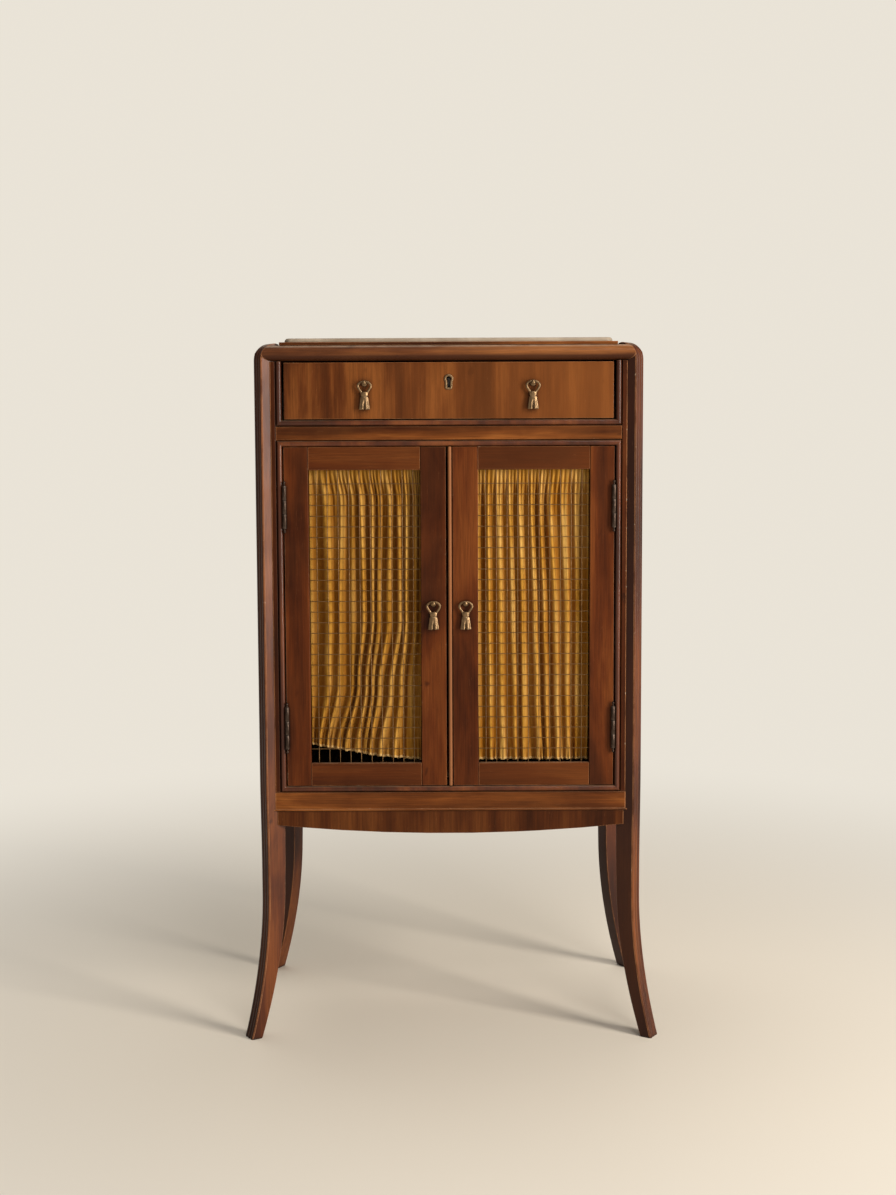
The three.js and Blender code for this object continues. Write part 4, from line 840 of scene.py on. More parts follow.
CLOTH = CurtainCloth("ochre_curtain_cloth")
# a lighter copy of the cloth for the right curtain, nearer the window: painted light
LIT_CLOTH = CurtainCloth(
    "faded_curtain_cloth", deep=(0.39, 0.175, 0.016), middle=(0.52, 0.265, 0.045),
    faded=(0.64, 0.38, 0.105), shaded=(0.215, 0.068, 0.0015),
)


# ---- Mesh helpers -----------------------------------------------------------

TIP = 0.02 * MM


def around(count: int) -> list[tuple[float, float]]:
    """Lists the cosine and sine of evenly spaced angles, once round."""
    return [(math.cos(math.tau * i / count), math.sin(math.tau * i / count)) for i in range(count)]


def put(name: str, data: bpy.types.ID) -> bpy.types.Object:
    """Puts a mesh, a light or a camera into the scene, at the origin.

    Args:
        name: the object's name.
        data: what the object shows.

    Returns:
        The object.
    """
    item = bpy.data.objects.new(name, data)
    bpy.context.scene.collection.objects.link(item)
    return item


@contextmanager
def editing(mesh: bpy.types.Mesh) -> Iterator[bmesh.types.BMesh]:
    """Opens a mesh for editing, and shades all its faces smooth at the end.

    Args:
        mesh: the mesh that is edited.

    Yields:
        Its editable form.
    """
    form = bmesh.new()
    form.from_mesh(mesh)
    yield form
    for face in form.faces:
        face.smooth = True
    form.to_mesh(mesh)
    form.free()


def make_object(name: str, points: Iterable[Vector], faces: Iterable[Sequence[int]]) -> bpy.types.Object:
    """Makes a smooth-shaded mesh object at the origin, with its faces turned outward.

    Args:
        name: the piece's name.
        points: its vertices, in metres in the frame.
        faces: its faces, as vertex numbers.

    Returns:
        The new object, in the scene.
    """
    mesh = bpy.data.meshes.new(name)
    mesh.from_pydata([tuple(point) for point in points], [], [list(face) for face in faces])
    mesh.update()
    with editing(mesh) as form:
        bmesh.ops.recalc_face_normals(form, faces=form.faces)
    return put(name, mesh)


def loft_faces(rows: int, count: int, sheet: bool = False, rows_closed: bool = False) -> list[list[int]]:
    # the right curtain wears the lighter copy of the cloth, painted light
    """Lists the faces of a skin over rows of points.

    Args:
        rows: how many rows there are.
        count: how many points a row has.
        sheet: whether the rows and the ends stay open.
        rows_closed: whether the last row joins the first.

    Returns:
        The faces, as vertex numbers.
    """
    faces = []
    for row in range(rows if rows_closed else rows - 1):
        here = row * count
        above = ((row + 1) % rows) * count
        for i in range(count - 1 if sheet else count):
            j = (i + 1) % count
            faces.append([here + i, here + j, above + j, above + i])
    if not sheet and not rows_closed:
        faces.append(list(range(count))[::-1])
        faces.append([(rows - 1) * count + i for i in range(count)])
    return faces


def loft_object(name: str, rings: Sequence[Ring], rows_closed: bool = False) -> bpy.types.Object:
    """Makes an object from closed rings of points.

    Args:
        name: the piece's name.
        rings: rings of equal length.
        rows_closed: whether the last ring joins the first.

    Returns:
        The new object.
    """
    points = [point for ring in rings for point in ring]
    return make_object(name, points, loft_faces(len(rings), len(rings[0]), rows_closed=rows_closed))


def turned_rings(profile: Sequence[Span], frame: Matrix, steps: int = 32) -> list[Ring]:
    """Turns a profile about an axis.

    Args:
        profile: pairs of radius and height, from one end to the other.
        frame: puts the turned shape, made about Z, in its place.
        steps: how many points go round.

    Returns:
        The rings, first to last.
    """
    circle = around(steps)
    return [[frame @ Vector((radius * x, radius * y, height)) for x, y in circle]
            for radius, height in profile]


def swept_rings(path: Sequence[Vector], widths: Callable[[float], Span], corners: int,
                closed: bool = False) -> list[Ring]:
    """Carries an oval section along a path in an upright plane.

    Args:
        path: the points of its centre line.
        widths: gives the section's half width and half thickness at a share of the path.
        corners: how many points the section has.
        closed: whether the path comes back to its start.

    Returns:
        The rings along the path.
    """
    rings = []
    count = len(path)
    back_way = Vector((0.0, 1.0, 0.0))
    for i, point in enumerate(path):
        ahead = path[(i + 1) % count] if closed else path[min(i + 1, count - 1)]
        back = path[i - 1] if closed else path[max(i - 1, 0)]
        across = back_way.cross((ahead - back).normalized()).normalized()
        wide, thick = widths(i / max(1, count - 1))
        rings.append([point + across * wide * x + back_way * thick * y for x, y in around(corners)])
    return rings


def joined(name: str, *pieces: bpy.types.Object) -> bpy.types.Object:
    """Joins objects that lie at the origin into one.

    Args:
        name: the joined piece's name.
        pieces: what is joined; they are used up.

    Returns:
        The joined piece.
    """
    form = bmesh.new()
    for piece in pieces:
        form.from_mesh(piece.data)
    mesh = bpy.data.meshes.new(name)
    form.to_mesh(mesh)
    form.free()
    for piece in pieces:
        old = piece.data
        bpy.data.objects.remove(piece)
        bpy.data.meshes.remove(old)
    return put(name, mesh)


def spline(knots: Sequence[Sequence[float]], steps: int) -> list[Vector]:
    """Draws a smooth line through points.

    Args:
        knots: the points.
        steps: how many steps lie between neighbours.

    Returns:
        The line's points, ends included.
    """
    given = [Vector(knot) for knot in knots]
    padded = [2 * given[0] - given[1], *given, 2 * given[-1] - given[-2]]
    line = []
    for a, b, c, d in zip(padded, padded[1:], padded[2:], padded[3:]):
        for i in range(steps):
            t = i / steps
            line.append(0.5 * (2 * b + (c - a) * t + (2 * a - 5 * b + 4 * c - d) * t * t
                               + (3 * b - a - 3 * c + d) * t ** 3))
    line.append(given[-1])
    return line


def smooth(value: float) -> float:
    """Eases a value from 0 to 1 and holds it beyond."""
    value = min(1.0, max(0.0, value))
    return value * value * (3 - 2 * value)


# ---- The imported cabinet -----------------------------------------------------


@dataclass
class Bench:
    """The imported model, and the steps that each new piece goes through."""

    frame: dict[str, Any]
    merge: float = 1e-6
    end_zone: float = 1e-5
    flat_angle: float = math.radians(1.0)
    edge_angle: float = math.radians(38)
    count: int = 0
    body_of: dict[str, str] = field(default_factory=dict)
    slot_of: dict[str, str] = field(default_factory=dict)

    def __post_init__(self) -> None:
        """Reads which body and which slot each node belongs to."""
        record = self.frame["record"]
        for body, nodes in record["behaviour"]["bodies"].items():
            self.body_of.update({node: body for node in nodes})
        self.slot_of = {part["node"]: part["material_slot"] for part in record["subparts"]}

    def seat(self, piece: bpy.types.Object, finish: Finish, node: str) -> None:
        """Puts a piece in the place of one of the frame's nodes.

        Args:
            piece: the new piece.
            finish: what it is finished with.
            node: the node that it stands for and rides with.
        """
        piece.data.materials.clear()
        piece.data.materials.append(finish.material())
        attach(piece, self.body_of[node])
        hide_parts(node)
        self.count += 1
        LOG.info("%s stands for %s", piece.name, node)

    def board(self, node: str, finish: Finish, ease: float, ends: float = 0.0,
              steps: int = 2) -> bpy.types.Object:
        """Makes a board of a node's own shape, with its edges eased.

        Args:
            node: the frame's node.
            finish: the board's finish.
            ease: how far the edges are rounded.
            ends: how far the board's left and right ends are lengthened, to close a joint.
            steps: how many steps the rounding has.

        Returns:
            The board.
        """
        mesh = self.frame["nodes"][node].data.copy()
        mesh.name = f"{node}_board"
        with editing(mesh) as form:
            bmesh.ops.remove_doubles(form, verts=form.verts, dist=self.merge)
            bmesh.ops.dissolve_limit(form, angle_limit=self.flat_angle, verts=form.verts, edges=form.edges)
            low, high = (pick(vert.co.x for vert in form.verts) for pick in (min, max))
            for vert in form.verts:
                if vert.co.x < low + self.end_zone:
                    vert.co.x -= ends
                if vert.co.x > high - self.end_zone:
                    vert.co.x += ends
        piece = put(mesh.name, mesh)
        bevel = piece.modifiers.new("eased_edges", "BEVEL")
        bevel.width = ease
        bevel.segments = steps
        bevel.limit_method = "ANGLE"
        bevel.angle_limit = self.edge_angle
        bevel.use_clamp_overlap = True
        piece.modifiers.new("flat_faces", "WEIGHTED_NORMAL").keep_sharp = True
        self.seat(piece, finish, node)
        return piece


# ---- Posts ------------------------------------------------------------------


@dataclass
class Post:
    """A corner post: a reeded plank on a sabre leg, with its top rolled over."""

    node: str
    side: Side
    behind: bool
    turn: float = math.radians(32)
    reeded_face: float = 25.5 * MM
    plain_face: float = 33 * MM
    foot_face: float = 21.2 * MM
    taper_top: float = 340 * MM
    knee: float = 230 * MM
    foot_splay: float = 34 * MM
    splay_power: float = 1.9
    waist_top: float = 430 * MM
    waist_run: float = 160 * MM
    waist_inset: float = 1.4 * MM
    ear_radius: float = 26.7 * MM
    ear_rise: float = 3.6 * MM
    reeds: int = 3
    reed_rise: float = 2.8 * MM
    case_half_depth: float = 180 * MM
    arris: float = 293.8 * MM
    corner: float = 1.1 * MM
    blunting: float = 0.55 * MM
    foot_wear: float = 1.2 * MM
    foot_inset: float = 0.72 * MM
    leg_steps: int = 56
    ear_steps: int = 18
    reed_steps: int = 12

    def splay(self, z: float) -> float:
        """How far the leg has swung outward at a height."""
        return self.foot_splay * max(0.0, (self.knee - z) / self.knee) ** self.splay_power

    def outer(self, z: float) -> float:
        """The reeded face's place along the plank at a height."""
        return self.splay(z) - self.waist_inset * smooth((self.waist_top - z) / self.waist_run)

    def inner(self, z: float) -> float:
        """The back edge's place along the plank at a height."""
        rise = math.sin(min(1.0, z / self.taper_top) * math.pi / 2)
        return self.splay(z) - self.foot_face - (self.plain_face - self.foot_face) * rise

    def face_points(self, fade: float) -> list[Span]:
        """Lists the reeded face's points from the front arris back.

        Args:
            fade: how far the reeds have sunk away.

        Returns:
            Each point's place across the face, and its depth below the crowns.
        """
        width = self.reeded_face / self.reeds
        points = []
        for i in range(self.reeds * self.reed_steps + 1):
            swing = 2 * (i % self.reed_steps) / self.reed_steps - 1
            rise = math.sqrt(max(0.0, 1 - swing * swing))
            points.append((i * width / self.reed_steps, (rise - 1) * self.reed_rise * (1 - fade)))
        points[0] = (self.blunting, points[0][1])
        points[-1] = (self.reeded_face - self.blunting, points[-1][1])
        return points

    def ring(self, outer: Vector, out: Vector, inner: Vector, fade: float) -> Ring:
        """Makes one section of the post.

        Args:
            outer: the crown line's place along the plank and its height.
            out: the direction that the reeds stand out in.
            inner: the back edge's place and height.
            fade: how far the reeds have sunk away.

        Returns:
            The section's points, in their places at the post's corner.
        """
        points = []
        for across, depth in self.face_points(fade):
            at = outer + out * depth
            points.append((at, across))
        back = (inner - outer).normalized()
        shoulder = outer - out * self.reed_rise * (1 - fade) + back * self.blunting
        corner = inner - back * self.corner
        far = self.reeded_face
        points += [(shoulder, far), (corner, far), (inner, far - self.corner)]
        points += [(inner, self.corner), (corner, 0.0), (shoulder, 0.0)]
        return [self.place(at.x, across, at.y) for at, across in points]

    def place(self, along: float, across: float, up: float) -> Vector:
        """Turns a point of the plank into its place at the post's corner.

        Args:
            along: its place along the plank, outward.
            across: its place across the plank.
            up: its height.

        Returns:
            The place.
        """
        x = self.arris + along * math.cos(self.turn) + across * math.sin(self.turn)
        y = self.case_half_depth + along * math.sin(self.turn) - across * math.cos(self.turn)
        return Vector((self.side.value * x, y if self.behind else -y, up))

    def build(self, bench: Bench) -> None:
        """Makes the post and seats it."""
        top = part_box(self.node)[1].z
        centre = top - self.ear_radius
        heights = [0.0, self.foot_wear]
        heights += [self.waist_top * i / self.leg_steps for i in range(1, self.leg_steps + 1)]
        rings = []
        for z in heights:
            inset = self.foot_inset if z == 0.0 else 0.0
            outer = Vector((self.outer(z) - inset, z))
            inner = Vector((self.inner(z) + inset, z))
            rings.append(self.ring(outer, Vector((1.0, 0.0)), inner, 0.0))
        for i in range(self.ear_steps + 1):
            share = i / self.ear_steps
            angle = math.pi / 2 * share
            out = Vector((math.cos(angle), math.sin(angle)))
            outer = Vector((-self.ear_radius, centre)) + out * self.ear_radius
            inner = Vector((-self.plain_face, centre + (top - self.ear_rise / 2 - centre) * share))
            rings.append(self.ring(outer, out, inner, smooth(2 * share - 1)))
        post = loft_object(f"{self.node}_turned", rings)
        post.modifiers.new("flat_faces", "WEIGHTED_NORMAL").keep_sharp = True
        bench.seat(post, POST_WOOD, self.node)


# ---- Fittings ---------------------------------------------------------------


@dataclass
class Pull:
    """A ribbon loop and tassel of cast brass, hanging on a stud."""

    name: str
    gap: float = 0.3 * MM
    rosette: float = 4.6 * MM
    rim: float = 0.9 * MM
    lip: float = 2.2 * MM
    fillet: float = 0.6 * MM
    collar: float = 2.7 * MM
    neck: float = 1.8 * MM
    reach: float = 8.8 * MM
    knob_half: Vector = field(default_factory=lambda: Vector((2.9, 2.3, 3.9)) * MM)
    knob_lift: float = 1.5 * MM
    knob_taper: float = 0.34
    plane: float = 5.5 * MM
    loop: tuple[Span, ...] = (
        (0.0, 3.5), (3.8, 3.0), (7.6, 0.9), (10.0, -2.4), (9.6, -5.8), (7.3, -9.6), (5.0, -12.9),
        (4.0, -15.6),
    )
    strand: Span = (1.25 * MM, 1.8 * MM)
    strand_depth: float = 1.35 * MM
    swelling: float = 2.4
    knot: float = -12.4 * MM
    band: float = -20.4 * MM
    waist: float = 5.6 * MM
    head: tuple[tuple[float, float, float], ...] = (
        (0.0, 0.45, 0.0), (0.05, 0.8, 0.0), (0.16, 1.0, 0.1), (0.4, 1.04, 0.25), (0.7, 1.0, 0.25),
        (0.9, 0.96, 0.1), (0.95, 0.84, 0.0), (1.01, 0.84, 0.0), (1.06, 1.1, 0.0), (1.16, 1.14, 0.05),
    )
    hem: float = 9.1 * MM
    bottom: float = -40.0 * MM
    closing: tuple[Span, ...] = ((0.9, 0.5 * MM), (0.7, 0.7 * MM), (0.3, 0.4 * MM))
    flatness: float = 0.5
    lobes: int = 8
    lobe_depth: float = 0.2
    lobe_power: float = 1.6
    lobe_growth: float = 2.2
    slit: float = 1.3 * MM
    slit_depth: float = 0.75
    slit_growth: Span = (1.7, -0.3)
    fringe: float = 1.5 * MM
    fringe_powers: Span = (6, 1.5)
    dome_steps: int = 6
    knob_steps: int = 12
    knob_points: int = 32
    loop_steps: int = 6
    strand_points: int = 14
    skirt_steps: int = 16
    skirt_points: int = 96

    def stud_place(self) -> Vector:
        """The middle of the stud's foot, on the panel's face."""
        low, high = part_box(f"{self.name}_stud")
        return Vector(((low.x + high.x) / 2, high.y + self.gap, (low.z + high.z) / 2))

    def stud(self) -> bpy.types.Object:
        """Makes the stud: a rosette, a neck and a tapered knob."""
        place = self.stud_place()
        frame = Matrix.Translation(place) @ Matrix.Rotation(math.pi / 2, 4, "X")
        foot = self.neck + self.fillet
        profile = [(TIP, self.gap), (self.rosette, self.gap), (self.rosette, self.rim)]
        for i in range(self.dome_steps + 1):
            angle = math.pi / 2 * i / self.dome_steps
            profile.append((foot + (self.rosette - foot) * math.cos(angle),
                            self.rim + (self.lip - self.rim) * math.sin(angle)))
        profile += [(self.neck, self.collar), (self.neck, self.reach), (TIP, self.reach)]
        body = loft_object("stud_body", turned_rings(profile, frame))
        half = self.knob_half
        rings = []
        for i in range(1, self.knob_steps):
            angle = math.pi * i / self.knob_steps
            bulge = math.sin(angle)
            y = -(self.reach + half.y * (1 - math.cos(angle)))
            ring = []
            for x, z in around(self.knob_points):
                wide = half.x * bulge * x * (1 - self.knob_taper * z)
                ring.append(place + Vector((wide, y, half.z * bulge * z + self.knob_lift)))
            rings.append(ring)
        return joined(f"{self.name}_stud_turned", body, loft_object("knob", rings))

    def strand_widths(self, share: float) -> Span:
        """The strand's half width and half thickness at a share of its way round."""
        thin, thick = self.strand
        return thin + (thick - thin) * smooth(self.swelling * math.sin(math.pi * share)), self.strand_depth

    def drop(self) -> bpy.types.Object:
        """Makes the drop: the loop, the knot that holds it and the tassel's skirt."""
        place = self.stud_place() + Vector((0.0, -self.plane, 0.0))
        right = spline([(x * MM, 0.0, z * MM) for x, z in self.loop], self.loop_steps)
        left = [Vector((-point.x, 0.0, point.z)) for point in reversed(right)]
        path = [place + point for point in right + left[:-1]]
        rings = swept_rings(path, self.strand_widths, self.strand_points, closed=True)
        loop = loft_object("loop", rings, rows_closed=True)
        return joined(f"{self.name}_drop_cast", loop, loft_object("tassel", self.tassel_rings(place)))

    def tassel_rings(self, place: Vector) -> list[Ring]:
        """Makes the tassel's rings from the knot down to the skirt's hem.

        Args:
            place: the point on the loop's plane beside the stud.

        Returns:
            The rings.
        """
        body = self.knot - self.band
        rings = []
        for down, width, groove in self.head:
            z = self.knot - body * down
            rings.append(self.tassel_ring(place, z, self.waist * width, groove, 0.0, 0.0))
        start = self.knot - body * self.head[-1][0]
        first = self.waist * self.head[-1][1]
        growth, delay = self.slit_growth
        for i in range(1, self.skirt_steps + 1):
            share = i / self.skirt_steps
            z = start + (self.bottom - start) * share
            half = first + (self.hem - first) * share
            groove = smooth(share * self.lobe_growth)
            rings.append(self.tassel_ring(place, z, half, groove, smooth(share * growth + delay), share))
        for inset, drop in self.closing:
            rings.append(self.tassel_ring(place, self.bottom - drop, self.hem * inset, 1.0, 1.0, 1.0))
        return rings

    def tassel_ring(self, place: Vector, z: float, half: float, groove: float, parting: float,
                    frayed: float) -> Ring:
        """Makes one ring of the tassel.

        Args:
            place: the point on the loop's plane beside the stud.
            z: the ring's height from the stud.
            half: its half width.
            groove: how deep it is cut between its lobes.
            parting: how wide the middle slit gapes.
            frayed: how far the ring follows the rounded ends of the lobes.

        Returns:
            The ring.
        """
        ring = []
        fray_power, lobe_end_power = self.fringe_powers
        for i in range(self.skirt_points):
            angle = math.tau * i / self.skirt_points
            lobe = abs(math.sin(self.lobes * angle / 2))
            radius = half * (1 - self.lobe_depth * groove * (1 - lobe) ** self.lobe_power)
            x = radius * math.cos(angle)
            cut = self.slit_depth * parting * math.exp(-((x / self.slit) ** 2))
            y = radius * self.flatness * math.sin(angle) * (1 - cut)
            lift = self.fringe * frayed ** fray_power * (1 - lobe) ** lobe_end_power
            ring.append(place + Vector((x, y, z + lift)))
        return ring

    def build(self, bench: Bench) -> None:
        """Makes the pull and seats it."""
        bench.seat(self.stud(), BRASS, f"{self.name}_stud")
        bench.seat(self.drop(), BRASS, f"{self.name}_drop")


@dataclass
class Hinge:
    """A butt hinge with a long barrel and turned ends."""

    side: Side
    level: str
    radius: float = 3.4 * MM
    pin: float = 1.2 * MM
    bore: float = 1.7 * MM
    barrel: float = 66 * MM
    gap: float = 0.15 * MM
    ease: float = 0.4 * MM
    finial: float = 8 * MM
    finial_neck: tuple[Span, ...] = ((3.4, 0.0), (3.332, 0.5), (2.0, 1.1), (1.25, 1.9), (1.15, 2.5))
    ball: float = 2.1 * MM
    ball_half_height: float = 2.415 * MM
    ball_steps: int = 10
    jamb_edges: tuple[float, float, float] = (1.25 * MM, 2.45 * MM, 2.6 * MM)
    door_edges: tuple[float, float, float] = (0.6 * MM, -0.6 * MM, 2.4 * MM)

    def knuckle(self, start: float, end: float) -> list[Span]:
        """The profile of one knuckle, with eased ends."""
        inner = self.radius - self.ease
        return [(inner, start), (self.radius, start + self.ease), (self.radius, end - self.ease),
                (inner, end)]

    def end_profile(self) -> list[Span]:
        """The turned end above the barrel: a collar, a neck and a small ball."""
        foot = self.barrel / 2
        middle = foot + self.finial - self.ball_half_height
        profile = [(radius * MM, foot + rise * MM) for radius, rise in self.finial_neck]
        for i in range(2, self.ball_steps):
            angle = math.pi * i / self.ball_steps
            profile.append((self.ball * math.sin(angle), middle - self.ball_half_height * math.cos(angle)))
        profile.append((TIP, foot + self.finial))
        return profile

    def build(self, bench: Bench) -> None:
        """Makes both leaves with their knuckles and seats them."""
        jamb, door = (f"{self.side.word}_{self.level}_{part}_leaf" for part in ("jamb", "door"))
        low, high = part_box(jamb)
        axis = Vector(((low.x + high.x) / 2, low.y + self.radius, (low.z + high.z) / 2))
        frame = Matrix.Translation(axis)
        third = self.barrel / 6
        start = third + self.gap
        upper = [(self.pin, start), *self.knuckle(start, self.barrel / 2), *self.end_profile()]
        lower = [(radius, -z) for radius, z in reversed(upper)]
        knuckles = loft_object("knuckles", turned_rings([*lower, *upper], frame))
        leaf = joined(f"{jamb}_turned", knuckles, self.plate(jamb, axis, self.jamb_edges))
        bench.seat(leaf, BRONZE, jamb)
        start, end = self.gap - third, third - self.gap
        middle = [(self.bore, start), *self.knuckle(start, end), (self.bore, end)]
        knuckle = loft_object("middle_knuckle", turned_rings(middle, frame), rows_closed=True)
        bench.seat(joined(f"{door}_turned", knuckle, self.plate(door, axis, self.door_edges)), BRONZE, door)

    def plate(self, node: str, axis: Vector, edges: tuple[float, float, float]) -> bpy.types.Object:
        """Makes a leaf's flat plate.

        Args:
            node: the leaf's node in the frame.
            axis: the middle of the barrel.
            edges: how far outward its two faces and how far back its front edge lie from the axis.

        Returns:
            The plate.
        """
        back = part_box(node)[1].y
        x0, x1 = sorted(axis.x + self.side.value * offset for offset in edges[:2])
        front = axis.y + edges[2]
        half = self.barrel / 2 - self.gap
        section = ((x0, front), (x1, front), (x1, back), (x0, back))
        rings = [[Vector((x, y, axis.z + z)) for x, y in section] for z in (-half, half)]
        plate = loft_object("plate", rings)
        for face in plate.data.polygons:
            face.use_smooth = False
        return plate


@dataclass
class KeyholeRing:
    """The brass ring let on round the keyhole."""

    node: str = "escutcheon"
    radius: float = 4.0 * MM
    slot: float = 2.5 * MM
    corner: float = 0.6 * MM
    rim: float = 3.1 * MM
    rim_above: float = 2.9 * MM
    height: float = 17.4 * MM
    crown: float = 0.35 * MM
    rounding: float = 0.08 * MM
    round_steps: int = 26
    corner_steps: int = 4

    def outline(self, grow: float, top: float) -> list[Span]:
        """Draws the keyhole, grown outward.

        Args:
            grow: how far the line lies outside the hole.
            top: the hole's top, as a height.

        Returns:
            The line's points, as x and height.
        """
        radius = self.radius + grow
        half = self.slot + grow
        corner = self.corner + grow
        centre = top - self.radius
        bottom = top - self.height - grow
        meet = math.asin(half / radius)
        points = []
        for i in range(self.round_steps + 1):
            angle = -math.pi / 2 + meet + (math.tau - 2 * meet) * i / self.round_steps
            points.append((radius * math.cos(angle), centre + radius * math.sin(angle)))
        for x, start in ((corner - half, math.pi), (half - corner, 1.5 * math.pi)):
            for i in range(self.corner_steps + 1):
                angle = start + math.pi / 2 * i / self.corner_steps
                points.append((x + corner * math.cos(angle), bottom + corner * (1 + math.sin(angle))))
        return points

    def build(self, bench: Bench) -> None:
        """Makes the ring with a slightly crowned face and seats it."""
        low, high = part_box(self.node)
        edge, shoulder = low.y + self.crown, low.y + self.rounding
        section = [(0.0, high.y), (0.0, edge), (self.crown, shoulder), (self.rim / 2, low.y),
                   (self.rim - self.crown, shoulder), (self.rim, edge), (self.rim, high.y)]
        lines = [self.outline(grow, high.z - self.rim_above) for grow, _ in section]
        rings = [[Vector((x, y, z)) for (x, z), (_, y) in zip(points, section)] for points in zip(*lines)]
        bench.seat(loft_object("keyhole_ring", rings, rows_closed=True), BRASS, self.node)


# ---- Windows ----------------------------------------------------------------


@dataclass
class WireNet:
    """A net of crossing wires, each crimped over and under the others."""

    side: Side
    radius: float = 0.68 * MM
    crimp: float = 0.34 * MM
    pitch: float = 16.95 * MM
    uprights: int = 10
    levels: int = 26
    corners: int = 8
    steps: int = 6

    def build(self, bench: Bench) -> None:
        """Makes every wire of the net as one piece and seats it."""
        node = f"{self.side.word}_wire_net"
        low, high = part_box(node)
        middle = (low + high) / 2
        xs = self.places(middle.x, self.uprights)
        zs = self.places(middle.z, self.levels)
        wires = []
        for i, x in enumerate(xs):
            wires.append(self.wire([Vector((x, middle.y + self.wave(z, zs[0], i), z))
                                    for z in self.stops(low.z, high.z)]))
        for i, z in enumerate(zs):
            wires.append(self.wire([Vector((x, middle.y - self.wave(x, xs[0], i), z))
                                    for x in self.stops(low.x, high.x)]))
        bench.seat(joined(f"{node}_crimped", *wires), NET_WIRE, node)

    def places(self, middle: float, count: int) -> list[float]:
        """Places wires side by side, one pitch apart."""
        return [middle + (i - (count - 1) / 2) * self.pitch for i in range(count)]

    def stops(self, low: float, high: float) -> list[float]:
        """Spaces a wire's points evenly from one end to the other."""
        count = int((high - low) / self.pitch * self.steps)
        return [low + (high - low) * i / count for i in range(count + 1)]

    def wave(self, place: float, first: float, shift: int) -> float:
        """How far a wire is bent forward or back at a place along it."""
        return self.crimp * math.cos(math.pi * ((place - first) / self.pitch + shift))

    def wire(self, path: Sequence[Vector]) -> bpy.types.Object:
        """Makes one wire along its path."""
        rings = swept_rings(path, lambda share: (self.radius, self.radius), self.corners)
        return loft_object("wire", rings)


@dataclass(frozen=True)
class Fold:
    """One ridge of a curtain: its places across the window going down, and how it stands out."""

    top: float
    middle: float
    low: float
    hem: float
    crest: float
    hollow: float


TIGHT_FOLDS = (
    Fold(0, 0, 0, 1, 0.75, 0.9), Fold(16, 18, 20, 21, 0.95, 0.55), Fold(34, 36, 37, 39, 1.0, 0.7),
    Fold(52, 56, 59, 60, 0.8, 1.0), Fold(67, 71, 72, 72.5, 0.9, 0.9), Fold(86, 91, 95, 100, 0.95, 0.9),
    Fold(98.5, 105, 108, 110, 0.85, 1.0), Fold(113, 122, 124, 127, 0.85, 0.45),
    Fold(135, 141, 141, 144, 0.65, 0.75), Fold(155, 157, 156, 156, 0.6, 1.0),
    Fold(176, 176, 176, 175, 0.3, 0.3),
)
LOOSE_FOLDS = (
    Fold(0, 0, 0, 1, 0.55, 0.95), Fold(30, 34, 30, 13, 1.0, 0.35), Fold(55, 50, 47, 27, 0.6, 0.6),
    Fold(70, 69, 69, 44, 0.45, 0.85), Fold(84, 87, 76, 55, 1.0, 1.0), Fold(101, 101, 89, 73, 0.85, 0.6),
    Fold(113, 109, 99, 85, 0.75, 0.6), Fold(128, 125, 108, 92, 1.0, 1.0),
    Fold(143, 144, 128, 108, 0.75, 0.5), Fold(154, 152, 142, 133, 0.9, 0.7),
    Fold(170, 168, 158, 156, 0.4, 0.4), Fold(176, 176, 176, 175, 0.35, 0.3),
)


